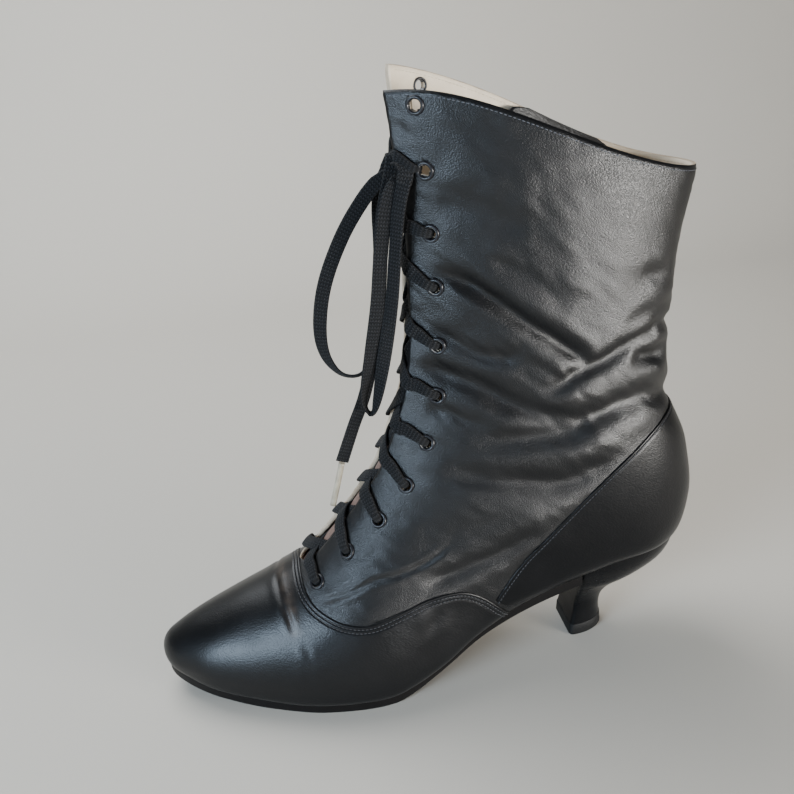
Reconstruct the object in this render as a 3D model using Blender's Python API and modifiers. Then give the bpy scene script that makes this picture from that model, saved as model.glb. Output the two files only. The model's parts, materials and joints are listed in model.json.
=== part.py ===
"""Laced leather boot for the left foot, with a pointed toe and a curved heel.

The boot stands on its heel top piece and the ball of its sole. The toe points
along -X, the lateral side faces -Y and +Z is up.
"""
import math

import bmesh
import bpy
import numpy as np
from mathutils import Vector

# Driving sizes of the boot, in millimetres
LENGTH = 252.0
BALL_WIDTH = 76.2
COLLAR_HEIGHT = 262.0
WALL = 1.8
GAP = 0.3
OVERLAY_THICKNESS = 0.9
OVERLAY_START = 3.4
HEEL_EDGE_RISE = 6.0
SOLE_THICKNESS = 3.05
SOLE_BEVEL = 0.8
SOLE_EDGE = 3.2
INSOLE_THICKNESS = 2.0
HEEL_BREAST = 57.4
LASTING_MARGIN = 12.0
OPENING_BELOW = 9.0
OPENING_ABOVE = 5.0
OPENING_SEAT = ((HEEL_BREAST, -11.0, 11.0), (38.0, -9.0, 9.0), (26.0, -5.0, 5.0))
THROAT_HALF = 7.0
THROAT_BASE = 5.72
THROAT_FULL = 6.0
THROAT_BASE_SHARE = 0.55
THROAT_REACH_OUT = 6.0
THROAT_REACH_IN = 9.0
THROAT_RINGS = 16
THROAT_STEP = 0.6
THROAT_PAST = 0.4
TONGUE_THICKNESS = 1.5
TOP_PIECE_HEIGHT = 5.8
HEEL_CORNER = 2.0
EYELET_FLANGE = 3.6
EYELET_BARREL = 2.25
EYELET_BORE = 1.9
EYELET_SEAT = 0.4
EYELET_RIM = 0.6
EYELET_HOLE = 2.85
EYELET_HOLE_DEPTH = 9.0
LACE_WIDTH = 6.2
LACE_THICKNESS = 1.2
LACE_LIFT = 0.8
LACE_START = 5.4
LACE_STEPS = (0.10, 0.32, 0.62)
LACE_PAST = 3.0
LACE_OVER = 1.2
LACE_STACK = 0.3
LACE_CORD = 3.0
KNOT_CORD = 4.8
TAG_CORD = 3.4

# The boot's own axes: l runs from the heel to the toe, y to the medial side, z up
MIDDLE_L = 126.55
MIDDLE_Y = -2.24
METRE = 0.001

# Facets round a section and along the boot
ANGLE_STEPS = 30
INNER_ANGLE_STEPS = 22
RING_STEPS = 22
EYELET_STEPS = 8
WIDE_STATIONS = 50
BAND_MARGIN = 6.0
BAND_DEPTH = 30.0
HEEL_BACK_STEPS = 13
SEAM_STEPS = 3
NORMAL_STEP = 0.004
MERGE_DISTANCE = 0.00002

# One row for each section, from the toe tip over the ball and instep to the collar.
# A section runs from its front or top point to its back or bottom point. widest is
# where its full width lies between them, bow lifts its front half and lets its back half
# sag, lead raises the medial front and lowers the lateral one, and turn draws the medial
# front back.
SECTION_COLUMNS = (
    "front_l", "front_z", "back_l", "back_z", "lateral", "medial", "middle",
    "widest", "front_power", "back_power", "bow", "lead", "turn",
)
SECTIONS = (
    (252.0, 18.6, 252.0, 18.6, 0.0, 0.0, 5.5, 0.60, 1.90, 2.4, 0.0, 0.00, 0.00),
    (249.6, 24.8, 249.6, 13.4, 8.0, 6.0, 5.5, 0.60, 1.90, 2.8, 0.0, 0.00, 0.00),
    (242.8, 30.0, 242.8, 10.6, 15.0, 11.5, 4.6, 0.64, 1.90, 3.4, 0.0, 0.00, 0.00),
    (229.8, 37.4, 229.8, 7.4, 23.5, 18.5, 3.4, 0.68, 1.90, 4.4, 0.0, 0.00, 0.00),
    (210.5, 46.4, 209.0, 4.4, 31.0, 26.5, 1.8, 0.72, 1.88, 5.4, 0.0, 0.00, 0.00),
    (193.0, 54.4, 188.0, 3.2, 37.0, 33.0, 0.6, 0.75, 1.86, 6.0, 0.0, 0.00, 0.00),
    (179.5, 63.2, 166.0, 3.0, 40.2, 36.0, 0.0, 0.77, 1.84, 6.4, 0.0, 0.00, 0.00),
    (166.5, 77.0, 147.0, 3.4, 40.2, 33.5, 0.0, 0.77, 1.80, 6.4, 0.0, 0.00, 0.00),
    (154.0, 92.5, 126.0, 10.8, 35.6, 29.5, 0.0, 0.75, 1.75, 6.0, 0.0, 0.00, 0.00),
    (144.8, 107.5, 103.0, 23.4, 30.8, 28.0, 0.0, 0.72, 1.70, 5.4, 0.0, 0.00, 0.00),
    (138.5, 125.0, 76.0, 34.0, 29.5, 28.5, 0.0, 0.68, 1.65, 4.8, 0.0, 0.00, 0.00),
    (134.5, 140.0, 44.0, 41.2, 29.5, 29.0, 0.0, 0.64, 1.60, 3.8, 0.0, 0.00, 0.00),
    (133.2, 152.0, 13.5, 46.0, 29.0, 28.5, 0.0, 0.60, 1.60, 2.8, 0.0, 0.00, 0.00),
    (132.2, 162.0, 2.2, 68.0, 28.5, 28.0, 0.0, 0.58, 1.60, 2.3, 0.0, 0.00, 0.00),
    (131.3, 173.0, 4.6, 95.0, 27.5, 27.5, 0.0, 0.57, 1.60, 2.2, 0.0, 0.00, 0.00),
    (130.7, 185.0, 12.2, 117.0, 27.0, 27.0, 0.0, 0.56, 1.60, 2.2, 0.0, 0.00, 0.00),
    (129.8, 200.0, 14.4, 140.0, 27.0, 27.0, 0.0, 0.56, 1.60, 2.2, 0.6, 0.00, 0.02),
    (129.4, 219.0, 13.0, 167.0, 27.5, 27.5, 0.0, 0.56, 1.60, 2.2, 1.9, 1.00, 0.08),
    (130.8, 240.5, 9.8, 192.6, 28.0, 28.0, 0.0, 0.56, 1.60, 2.2, 4.1, 3.00, 0.17),
    (132.6, 262.0, 4.3, 218.6, 28.0, 28.0, 0.0, 0.56, 1.60, 2.2, 6.4, 6.10, 0.27),
)
COLLAR = len(SECTIONS) - 1
HEEL_SEAT_ROW = 12
INSIDE_TOP = COLLAR + 0.3
BOW_SCALE = 27.0 / 4.0
SAG_SHARE = 0.68
LEAD_SOFT = 4.0
LEAD_POWER = 6
TOE_RINGS = (0.0, 0.3, 0.65, 1.0, 1.5)
BODY_START = 2.0

# Sole outline: l, lateral edge and medial edge, a row for each station from the toe
# to the breast of the heel
SOLE = (
    (250.8, 1.0, 8.8),
    (249.4, -2.8, 11.4),
    (246.0, -7.0, 13.6),
    (240.0, -12.0, 16.6),
    (230.0, -18.2, 20.2),
    (215.0, -25.0, 24.8),
    (200.0, -30.6, 28.8),
    (185.0, -35.4, 32.0),
    (170.0, -37.9, 33.6),
    (158.0, -38.5, 33.0),
    (148.0, -37.2, 31.0),
    (138.0, -34.2, 28.0),
    (125.0, -29.6, 24.6),
    (110.0, -25.6, 22.0),
    (95.0, -23.6, 21.4),
    (80.0, -22.6, 21.2),
    (HEEL_BREAST + GAP, -21.2, 20.4),
)

# Heel below the seat: z, back l, breast l and half width, a row for each level
HEEL = (
    (TOP_PIECE_HEIGHT + GAP, 42.6, 60.0, 11.2),
    (12.0, 42.8, 58.6, 10.8),
    (18.0, 41.3, 57.8, 11.0),
    (23.0, 37.2, HEEL_BREAST, 12.6),
    (27.0, 30.4, HEEL_BREAST, 14.8),
    (31.0, 20.4, HEEL_BREAST, 17.6),
    (36.0, 12.0, HEEL_BREAST, 19.6),
    (41.0, 8.2, HEEL_BREAST, 21.2),
    (46.0, 6.4, HEEL_BREAST, 21.8),
    (50.0, 6.2, HEEL_BREAST, 21.0),
    (54.5, 7.4, HEEL_BREAST, 19.0),
)
TOP_PIECE = (
    (0.0, 41.9, 60.8, 11.6),
    (TOP_PIECE_HEIGHT, 42.4, 60.2, 11.4),
)

# Vamp and counter: side view of the seams, in l and z, and the corners that close each
# outline below the sole and past the ends
VAMP_SEAM = (
    (183.8, 90.0), (183.8, 58.0), (182.4, 53.0), (177.8, 48.5), (167.8, 44.3), (157.0, 43.3),
    (143.6, 46.2), (130.0, 49.6), (116.4, 50.0), (105.4, 44.0), (94.0, 31.8), (84.0, 20.0),
)
COUNTER_SEAM = (
    (100.4, 41.2), (93.7, 50.9), (84.3, 62.2), (66.2, 79.3), (48.2, 95.6), (34.0, 106.4),
    (22.9, 113.5), (10.0, 117.0), (-12.0, 118.0),
)
VAMP_CORNERS = ((84.0, -9.0), (262.0, -9.0), (262.0, 90.0))
COUNTER_CORNERS = ((-12.0, 10.0), (70.0, 10.0), (95.0, 33.8))

# Eyelets: the section and the distance from the middle line, from the collar down
EYELETS = (
    (18.75, 14.4), (17.69, 14.3), (16.58, 13.5), (15.42, 13.6), (13.60, 13.5), (11.90, 14.4),
    (10.45, 16.0), (9.32, 16.7), (8.20, 17.5), (7.12, 17.9), (6.06, 18.2),
)

# Tongue: section, depth behind the front line, half width, curl that draws its edges
# back, and lean, its share of the way over to the medial wall
TONGUE = (
    (5.3, 3.4, 11.0, 3.2, 0.00),
    (5.7, 3.8, 11.0, 3.6, 0.00),
    (6.3, 6.0, 12.0, 5.0, 0.00),
    (7.0, 8.0, 12.0, 7.0, 0.00),
    (8.5, 8.0, 12.0, 11.0, 0.00),
    (10.0, 8.5, 11.0, 12.0, 0.00),
    (11.5, 8.5, 10.5, 12.5, 0.00),
    (13.0, 9.0, 10.5, 13.0, 0.02),
    (14.5, 10.0, 13.0, 14.0, 0.10),
    (16.0, 12.0, 16.0, 15.0, 0.28),
    (17.0, 14.0, 18.0, 16.0, 0.50),
    (18.0, 16.0, 20.0, 18.0, 0.75),
    (18.6, 18.0, 20.5, 18.0, 0.95),
    (18.88, 18.0, 20.0, 12.0, 1.00),
    (19.03, 18.0, 14.0, 4.0, 1.00),
)
TONGUE_ACROSS = 7
TONGUE_CURVE = 1.5
TONGUE_WIDEST = 20.0
TONGUE_MEDIAL_ANGLE = math.radians(95.0)
TONGUE_MEDIAL_SPREAD = math.radians(24.0)
TONGUE_MEDIAL_INSET = 5.4

# Lace routes as points in l, y and z: the knot over the lateral edge, and what hangs from it
LACE_KNOT = ((132.6, 2.6, 231.2), (133.2, -3.6, 230.6), (131.4, -9.6, 229.6), (128.4, -12.6, 228.8))
LOOP_FRONT = (
    (132.2, -6.0, 227.3), (132.4, -6.2, 214.0), (135.2, -5.0, 197.0), (137.6, -3.8, 176.0),
    (140.2, -2.4, 157.0), (146.6, 1.0, 145.0), (155.0, 3.5, 144.6), (161.0, 5.0, 153.0),
    (162.0, 5.0, 166.0), (158.0, 5.0, 184.0), (149.0, 4.0, 203.0), (138.6, 2.0, 218.0),
    (133.6, -1.4, 228.0),
)
LOOP_SIDE = (
    (127.5, -12.8, 226.2), (127.6, -12.6, 214.0), (130.2, -11.4, 197.0), (133.0, -10.0, 177.0),
    (137.6, -8.4, 155.0), (142.6, -6.4, 134.0), (145.6, -4.8, 128.6), (147.4, -3.8, 135.0),
    (143.2, -6.8, 155.0), (138.6, -8.6, 177.0), (135.6, -9.4, 197.0), (132.4, -10.4, 214.0),
    (130.8, -10.4, 226.4),
)
LACE_END = (
    (132.4, 4.3, 228.5), (132.6, 7.2, 214.0), (134.0, 7.4, 191.0), (138.4, 6.5, 162.0),
    (145.6, 4.0, 136.0), (153.0, 2.0, 120.0), (159.6, 0.4, 105.0),
)
LACE_TAG = ((159.8, 0.35, 104.5), (162.8, -0.8, 95.0), (166.0, -2.0, 85.4))
CORD_SPACING = 8.5
CORD_STEPS = 12

# Finishes: colour, roughness and metallic
LEATHER = ((0.018, 0.018, 0.022), 0.34, 0.0)
SOLE_LEATHER = ((0.020, 0.018, 0.017), 0.55, 0.0)
RUBBER = ((0.015, 0.015, 0.015), 0.70, 0.0)
LINING = ((0.52, 0.43, 0.32), 0.75, 0.0)
ENAMEL = ((0.020, 0.020, 0.022), 0.30, 0.6)
BRAID = ((0.022, 0.022, 0.024), 0.85, 0.0)
TAG_PLASTIC = ((0.55, 0.50, 0.44), 0.40, 0.0)


def new_collection(name):
    collection = bpy.data.collections.new(name)
    bpy.context.scene.collection.children.link(collection)
    return collection


def make_material(name, finish):
    colour, roughness, metallic = finish
    material = bpy.data.materials.new(name)
    material.use_nodes = True
    shader = material.node_tree.nodes["Principled BSDF"]
    shader.inputs["Base Color"].default_value = (*colour, 1.0)
    shader.inputs["Roughness"].default_value = roughness
    shader.inputs["Metallic"].default_value = metallic
    return material


def to_world(points):
    """Points in l, y, z millimetres to the boot's frame in metres."""
    points = np.asarray(points, float)
    shift = points - np.array([MIDDLE_L, MIDDLE_Y, 0.0])
    return shift * np.array([-METRE, METRE, METRE])


def section_table():
    """Section rows scaled to the driving sizes, with one more row above the collar."""
    rows = np.array(SECTIONS)
    widest_row = rows[:, 4] + rows[:, 5]
    rows[:, [0, 2]] *= LENGTH / rows[:, 0].max()
    rows[:, [1, 3]] *= COLLAR_HEIGHT / rows[:, 1].max()
    rows[:, 4:7] *= BALL_WIDTH / widest_row.max()
    above = 2.0 * rows[-1] - rows[-2]
    return np.vstack([rows, above])


def smooth_rows(rows, at, before, after):
    """Values of a smooth curve through the rows at the given row numbers."""
    padded = np.vstack([before, rows, after])
    at = np.clip(np.asarray(at, float), 0.0, len(rows) - 1.0)
    index = np.minimum(at.astype(int), len(rows) - 2)
    t = (at - index)[:, None]
    a, b, c, d = (padded[index + step] for step in range(4))
    return 0.5 * (2 * b + (c - a) * t + (2 * a - 5 * b + 4 * c - d) * t**2 + (3 * b - a - 3 * c + d) * t**3)


def sections_at(at):
    """Section values at fractional section numbers, one dictionary of columns."""
    rows = section_table()
    before = rows[1].copy()
    before[[1, 3]] = rows[1][[3, 1]]
    before[[4, 5]] *= -1.0
    values = smooth_rows(rows, at, before, 2.0 * rows[-1] - rows[-2])
    return {name: values[:, i][:, None] for i, name in enumerate(SECTION_COLUMNS)}


def bare_form(at, angles):
    """Outer face of the upper: angle 0 is the front line, negative is lateral."""
    s = sections_at(at)
    angles = (np.atleast_2d(np.asarray(angles, float)) + math.pi) % (2 * math.pi) - math.pi
    size = np.abs(angles)
    in_front = size <= math.pi / 2
    power = 2.0 / np.where(in_front, s["front_power"], s["back_power"])
    reach = np.abs(np.cos(size)) ** power
    along = np.where(in_front, s["widest"] * (1 - reach), s["widest"] + (1 - s["widest"]) * reach)
    half = np.where(angles < 0, -s["lateral"], s["medial"])
    y = s["middle"] + half * np.abs(np.sin(size)) ** power
    bow = s["bow"] * BOW_SCALE * along * (1 - along) * (1 - along - SAG_SHARE * along)
    lead = s["lead"] * y / np.hypot(y, LEAD_SOFT) * (1 - along) ** LEAD_POWER
    l = s["front_l"] + (s["back_l"] - s["front_l"]) * along - s["turn"] * y * (1 - along)
    z = s["front_z"] + (s["back_z"] - s["front_z"]) * along + bow + lead
    return np.stack([l, y, z], axis=-1)


def form_normals(at, angles):
    """Outward directions of the form."""
    at = np.maximum(np.asarray(at, float), 3.0 * NORMAL_STEP)
    angles = np.atleast_2d(np.asarray(angles, float))
    ahead = bare_form(at + NORMAL_STEP, angles) - bare_form(at - NORMAL_STEP, angles)
    around = bare_form(at, angles + NORMAL_STEP) - bare_form(at, angles - NORMAL_STEP)
    normal = np.cross(around, ahead)
    return normal / np.linalg.norm(normal, axis=-1, keepdims=True)


def form(at, angles, offset=0.0):
    """The form, moved outwards by an offset."""
    at = np.asarray(at, float)
    points = bare_form(at, angles) + offset * form_normals(at, angles)
    tip = at <= 0.0
    points[tip] = bare_form(at[tip], angles)[..., :] + np.array([offset, 0.0, 0.0])
    return points


def angle_at(at, side):
    """Angle on the front half of a section at a distance from the middle line."""
    s = sections_at([at])
    half = s["lateral"] if side < 0 else s["medial"]
    ratio = abs(side - s["middle"][0, 0]) / half[0, 0]
    return math.copysign(math.asin(min(1.0, ratio) ** (s["front_power"][0, 0] / 2)), side)


def surface_point(at, side, offset=0.0):
    """Point of the form at a section and a distance from the middle line, and its normal."""
    angle = angle_at(at, side)
    return form([at], [angle], offset)[0, 0], form_normals([at], [angle])[0, 0]


def bottom_height(l):
    """Height of the form's bottom line under the foot."""
    line = bare_form(np.linspace(0, HEEL_SEAT_ROW, 241), [math.pi])[:, 0]
    return np.interp(l, line[::-1, 0], line[::-1, 2])


def tread_height(l):
    """Underside of the sole: a constant thickness, flat where the ball rests."""
    return np.maximum(0.0, bottom_height(l) - SOLE_THICKNESS)


def add_object(name, mesh, collection, material=None):
    item = bpy.data.objects.new(name, mesh)
    collection.objects.link(item)
    if material:
        mesh.materials.append(material)
    else:
        item.hide_render = True
        item.display_type = "WIRE"
    return item


def skin(name, rings, collection, material=None, fan_end=False):
    """Closed solid through a row of rings. A first ring of one point is a tip."""
    bm = bmesh.new()
    loops = [[bm.verts.new(point) for point in to_world(ring)] for ring in rings]
    for low, high in zip(loops[:-1], loops[1:]):
        count = len(high)
        for i in range(count):
            j = (i + 1) % count
            if len(low) == 1:
                bm.faces.new((low[0], high[i], high[j]))
            else:
                bm.faces.new((low[i], high[i], high[j], low[j]))
    if len(loops[0]) > 1:
        bm.faces.new(loops[0])
    if fan_end:
        centre = bm.verts.new(np.mean(to_world(rings[-1]), axis=0))
        last = loops[-1]
        for i, vert in enumerate(last):
            bm.faces.new((vert, last[(i + 1) % len(last)], centre))
    else:
        bm.faces.new(loops[-1])
    bmesh.ops.recalc_face_normals(bm, faces=bm.faces)
    mesh = bpy.data.meshes.new(name)
    bm.to_mesh(mesh)
    bm.free()
    return add_object(name, mesh, collection, material)


def cut(item, cutter, operation="DIFFERENCE"):
    modifier = item.modifiers.new(operation.title(), "BOOLEAN")
    modifier.operation = operation
    modifier.object = cutter
    modifier.solver = "EXACT"


def form_rings(offset, top, steps):
    """Rings of the form from the toe tip to a section number, closer at the toe."""
    body = np.linspace(BODY_START, top, RING_STEPS)
    angles = np.linspace(-math.pi, math.pi, steps, endpoint=False)
    rings = list(form(np.concatenate([TOE_RINGS, body]), angles, offset))
    rings[0] = rings[0][:1]
    return rings


def band_rings(stations, low, high, bevel=0.0):
    """Rings of a band between two heights, across a row of stations."""
    rings = []
    for (l, lateral, medial), bottom, top in zip(stations, low, high):
        rings.append([
            (l, lateral, top), (l, medial, top), (l, medial, bottom + bevel),
            (l, medial - bevel, bottom), (l, lateral + bevel, bottom), (l, lateral, bottom + bevel),
        ])
    return rings


def side_prism(name, seam, corners, collection):
    """Cutter with a side view outline, as wide as the boot and more."""
    knots = np.array(seam)
    fine = np.linspace(0, len(knots) - 1, SEAM_STEPS * (len(knots) - 1) + 1)
    line = smooth_rows(knots, fine, 2 * knots[0] - knots[1], 2 * knots[-1] - knots[-2])
    outline = np.vstack([line, corners])
    rings = [[(l, side, z) for l, z in outline] for side in (-BALL_WIDTH, BALL_WIDTH)]
    return skin(name, rings, collection)


def heel_ring(z, back_l, front_l, half_width):
    """Level of the heel: flat breast with rounded corners and a round back."""
    depth = front_l - HEEL_CORNER - back_l
    ring = [(front_l, half_width - HEEL_CORNER, z), (front_l, HEEL_CORNER - half_width, z)]
    for angle in np.linspace(-math.pi / 2, math.pi / 2, HEEL_BACK_STEPS):
        ring.append((back_l + depth * (1 - math.cos(angle)), half_width * math.sin(angle), z))
    return ring


def turned_frame(point, normal):
    """Placement with its Z along a surface normal, in the boot's frame."""
    direction = Vector((-normal[0], normal[1], normal[2]))
    place = direction.to_track_quat("Z", "Y").to_matrix().to_4x4()
    place.translation = Vector(to_world(point))
    return place


def strand_rings(path, fronts):
    """Rings of a flat braid along a path, its faces turned to the given fronts."""
    path = np.array(path)
    rings = []
    for i, point in enumerate(path):
        run = path[min(i + 1, len(path) - 1)] - path[max(i - 1, 0)]
        run = run / np.linalg.norm(run)
        side = np.cross(fronts[i], run)
        side = 0.5 * LACE_WIDTH * side / np.linalg.norm(side)
        rise = np.cross(run, side)
        rise = 0.5 * LACE_THICKNESS * rise / np.linalg.norm(rise)
        rings.append([point + side + rise, point - side + rise, point - side - rise, point + side - rise])
    return rings


def throat_line(at):
    """Point midway between the two throat edges, and its forward direction."""
    lateral, lateral_normal = surface_point(at, -THROAT_HALF)
    medial, medial_normal = surface_point(at, THROAT_HALF)
    forward = lateral_normal + medial_normal
    return 0.5 * (lateral + medial), forward / np.linalg.norm(forward)


def lace_strand(name, low, high, hand, collection, material=None):
    """Half of a crossing: out of an eyelet, over the throat edge and past the middle."""
    at, side = low
    rise = high[0] - at
    clear = 0.5 * LACE_THICKNESS + LACE_LIFT
    start_at, edge_at, past_at = (at + step * rise for step in LACE_STEPS)
    start, start_normal = surface_point(start_at, hand * (side - LACE_START), clear)
    edge, edge_normal = surface_point(edge_at, hand * THROAT_HALF, clear)
    past, forward = throat_line(past_at)
    past = past + (LACE_OVER + LACE_STACK * hand) * forward - np.array([0.0, LACE_PAST * hand, 0.0])
    edge_front = edge_normal + forward
    edge_front = edge_front / np.linalg.norm(edge_front)
    rings = strand_rings([start, edge, past], [start_normal, edge_front, forward])
    return skin(name, rings, collection, material)


def cord(name, route, thickness, collection, material):
    """Round cord along a smooth line through route points."""
    knots = np.array(route)
    fine = np.linspace(0, len(knots) - 1, CORD_STEPS * len(knots))
    line = smooth_rows(knots, fine, 2 * knots[0] - knots[1], 2 * knots[-1] - knots[-2])
    run = np.concatenate([[0.0], np.cumsum(np.linalg.norm(np.diff(line, axis=0), axis=1))])
    stops = np.linspace(0.0, run[-1], max(2, round(run[-1] / CORD_SPACING) + 1))
    points = to_world(np.stack([np.interp(stops, run, line[:, i]) for i in range(3)], axis=1))
    curve = bpy.data.curves.new(name, "CURVE")
    curve.dimensions = "3D"
    curve.bevel_depth = 0.5 * thickness * METRE
    curve.bevel_resolution = 2
    curve.use_fill_caps = True
    spline = curve.splines.new("POLY")
    spline.points.add(len(points) - 1)
    for point, place in zip(spline.points, points):
        point.co = (*place, 1.0)
    item = bpy.data.objects.new(name, curve)
    collection.objects.link(item)
    curve.materials.append(material)
    return item


def make_throat_cutter():
    """Slot between the two throat edges, from its round base past the collar."""
    rings = []
    edges = np.linspace(THROAT_FULL + THROAT_STEP, COLLAR, THROAT_RINGS)
    for at in (THROAT_BASE, THROAT_FULL, *edges, COLLAR + THROAT_PAST):
        half = THROAT_HALF * (THROAT_BASE_SHARE if at == THROAT_BASE else 1.0)
        outer = [surface_point(at, side, THROAT_REACH_OUT)[0] for side in np.linspace(-half, half, 5)]
        forward = throat_line(at)[1]
        inner = [surface_point(at, side)[0] - THROAT_REACH_IN * forward for side in (half, -half)]
        rings.append(outer + inner)
    return skin("throat_gap", rings, cutters)


def make_underside_cutter():
    """Opening inside the lasting margin, where insole and sole close the upper."""
    toe_end = LENGTH - LASTING_MARGIN
    stations = [
        (l, lateral + LASTING_MARGIN, medial - LASTING_MARGIN)
        for l, lateral, medial in SOLE if HEEL_BREAST + LASTING_MARGIN < l < toe_end
    ]
    stations += OPENING_SEAT
    floor = bottom_height(np.array(stations)[:, 0])
    rings = band_rings(stations, floor - OPENING_BELOW, floor + OPENING_ABOVE)
    return skin("underside_opening", rings, cutters)


def make_hole_cutter(places):
    """Round holes for the eyelets, one body for each."""
    bm = bmesh.new()
    for place in places:
        bmesh.ops.create_cone(bm, cap_ends=True, segments=EYELET_STEPS, radius1=EYELET_HOLE * METRE,
                              radius2=EYELET_HOLE * METRE, depth=EYELET_HOLE_DEPTH * METRE, matrix=place)
    mesh = bpy.data.meshes.new("eyelet_holes")
    bm.to_mesh(mesh)
    bm.free()
    return add_object("eyelet_holes", mesh, cutters)


def make_upper(places):
    """Hollow upper, open at the collar, the throat, the eyelets and underneath."""
    upper = skin("upper", form_rings(0.0, COLLAR, ANGLE_STEPS), boot, leather, fan_end=True)
    cut(upper, skin("upper_inside", form_rings(-WALL, INSIDE_TOP, INNER_ANGLE_STEPS), cutters))
    cut(upper, make_throat_cutter())
    cut(upper, make_underside_cutter())
    cut(upper, make_hole_cutter(places))


def make_outsole(around_upper):
    """Sole under the foot, from the toe to the breast of the heel."""
    station = np.array(SOLE)[:, 0]
    rings = band_rings(SOLE, tread_height(station), bottom_height(station) + SOLE_EDGE, SOLE_BEVEL)
    cut(skin("outsole", rings, boot, sole_leather), around_upper)


def wide_band(name, above, heel_rise=0.0):
    """Cutter as wide as the boot and more, up to a height above the form's bottom line."""
    station = np.linspace(LENGTH + BAND_MARGIN, -BAND_MARGIN, WIDE_STATIONS)
    level = bottom_height(station)
    rows = [(l, -BALL_WIDTH, BALL_WIDTH) for l in station]
    rise = np.interp(station, (0.0, HEEL_BREAST), (heel_rise, 0.0))
    return skin(name, band_rings(rows, level - BAND_DEPTH, level + above + rise), cutters)


def make_insole():
    """Insole on the lasting margin, shaped by the inside of the upper."""
    inside = form_rings(-WALL - GAP, INSIDE_TOP, INNER_ANGLE_STEPS)
    insole = skin("insole", inside, boot, lining, fan_end=True)
    cut(insole, wide_band("insole_level", WALL + GAP + INSOLE_THICKNESS), "INTERSECT")


def make_heel(around_upper):
    """Covered heel under the seat, and the rubber top piece that it stands on."""
    cut(skin("heel", [heel_ring(*row) for row in HEEL], boot, leather), around_upper)
    skin("heel_top_piece", [heel_ring(*row) for row in TOP_PIECE], boot, rubber)


def make_overlays(around_upper):
    """Vamp and counter: leather laid over the upper, cut along the seams."""
    sole_zone = wide_band("sole_zone", OVERLAY_START, HEEL_EDGE_RISE)
    sides = {
        "vamp": side_prism("vamp_side", VAMP_SEAM, VAMP_CORNERS, cutters),
        "counter": side_prism("counter_side", COUNTER_SEAM, COUNTER_CORNERS, cutters),
    }
    for name, outline in sides.items():
        rings = form_rings(GAP + OVERLAY_THICKNESS, COLLAR, ANGLE_STEPS)
        overlay = skin(name, rings, boot, leather, fan_end=True)
        cut(overlay, around_upper)
        cut(overlay, outline, "INTERSECT")
        cut(overlay, sole_zone)


def make_tongue():
    """Tongue behind the throat, leaning over to the medial wall above the ankle."""
    bm = bmesh.new()
    columns = []
    for at, depth, half_width, curl, lean in TONGUE:
        s = {name: value[0, 0] for name, value in sections_at([at]).items()}
        axis = np.array([s["back_l"] - s["front_l"], 0.0, s["back_z"] - s["front_z"]])
        axis = axis / np.linalg.norm(axis)
        front = np.array([s["front_l"], 0.0, s["front_z"]])
        column = []
        for across in np.linspace(-1.0, 1.0, TONGUE_ACROSS):
            behind = front + axis * (depth + curl * abs(across) ** TONGUE_CURVE)
            behind = behind + np.array([0.0, half_width * across, 0.0])
            angle = TONGUE_MEDIAL_ANGLE + TONGUE_MEDIAL_SPREAD * across * half_width / TONGUE_WIDEST
            beside = form([at], [angle], -TONGUE_MEDIAL_INSET)[0, 0]
            column.append(bm.verts.new(to_world((1.0 - lean) * behind + lean * beside)))
        columns.append(column)
    for low, high in zip(columns[:-1], columns[1:]):
        for i in range(TONGUE_ACROSS - 1):
            bm.faces.new((low[i], low[i + 1], high[i + 1], high[i]))
    mesh = bpy.data.meshes.new("tongue")
    bm.to_mesh(mesh)
    bm.free()
    thicken = add_object("tongue", mesh, boot, leather).modifiers.new("Thickness", "SOLIDIFY")
    thicken.thickness = TONGUE_THICKNESS * METRE
    thicken.offset = 0.0


def eyelet_frames():
    """Placement of each eyelet on both throat edges, by node name."""
    frames = {}
    for number, (at, side) in enumerate(EYELETS, 1):
        for word, hand in (("lateral", -1.0), ("medial", 1.0)):
            point, normal = surface_point(at, hand * side)
            frames[f"eyelet_{word}_{number:02d}"] = turned_frame(point, normal)
    return frames


def make_eyelets(frames):
    """Turned rings set through the throat edges."""
    end = -WALL - EYELET_SEAT
    profile = (
        (EYELET_BORE, EYELET_SEAT + EYELET_RIM), (EYELET_FLANGE, EYELET_SEAT + 0.25 * EYELET_RIM),
        (EYELET_BARREL, EYELET_SEAT), (EYELET_BARREL, end), (EYELET_BORE, end),
    )
    mesh = bpy.data.meshes.new("eyelet")
    edges = [(i, (i + 1) % len(profile)) for i in range(len(profile))]
    mesh.from_pydata([(r * METRE, 0.0, h * METRE) for r, h in profile], edges, [])
    mesh.materials.append(enamel)
    for name, place in frames.items():
        eyelet = bpy.data.objects.new(name, mesh)
        boot.objects.link(eyelet)
        eyelet.matrix_world = place
        turn = eyelet.modifiers.new("Turned", "SCREW")
        turn.steps = EYELET_STEPS
        turn.render_steps = EYELET_STEPS
        turn.use_merge_vertices = True
        turn.merge_threshold = MERGE_DISTANCE


def make_lacing():
    """Lace crossings above each pair of eyelets, and the bar that carries the knot."""
    for number in range(len(EYELETS), 2, -1):
        low = EYELETS[number - 1]
        high = EYELETS[number - 2]
        crossing = lace_strand(f"lace_crossing_{number:02d}", low, high, -1.0, boot, braid)
        other = lace_strand(f"lace_strand_{number:02d}", low, high, 1.0, cutters)
        cut(crossing, other, "UNION")
    at, side = EYELETS[1]
    clear = 0.5 * LACE_THICKNESS + LACE_LIFT
    end = side - LACE_START
    stops = [surface_point(at, y, clear) for y in (-end, -THROAT_HALF, THROAT_HALF, end)]
    points, fronts = zip(*stops)
    skin("lace_bar", strand_rings(points, fronts), boot, braid)


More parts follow.
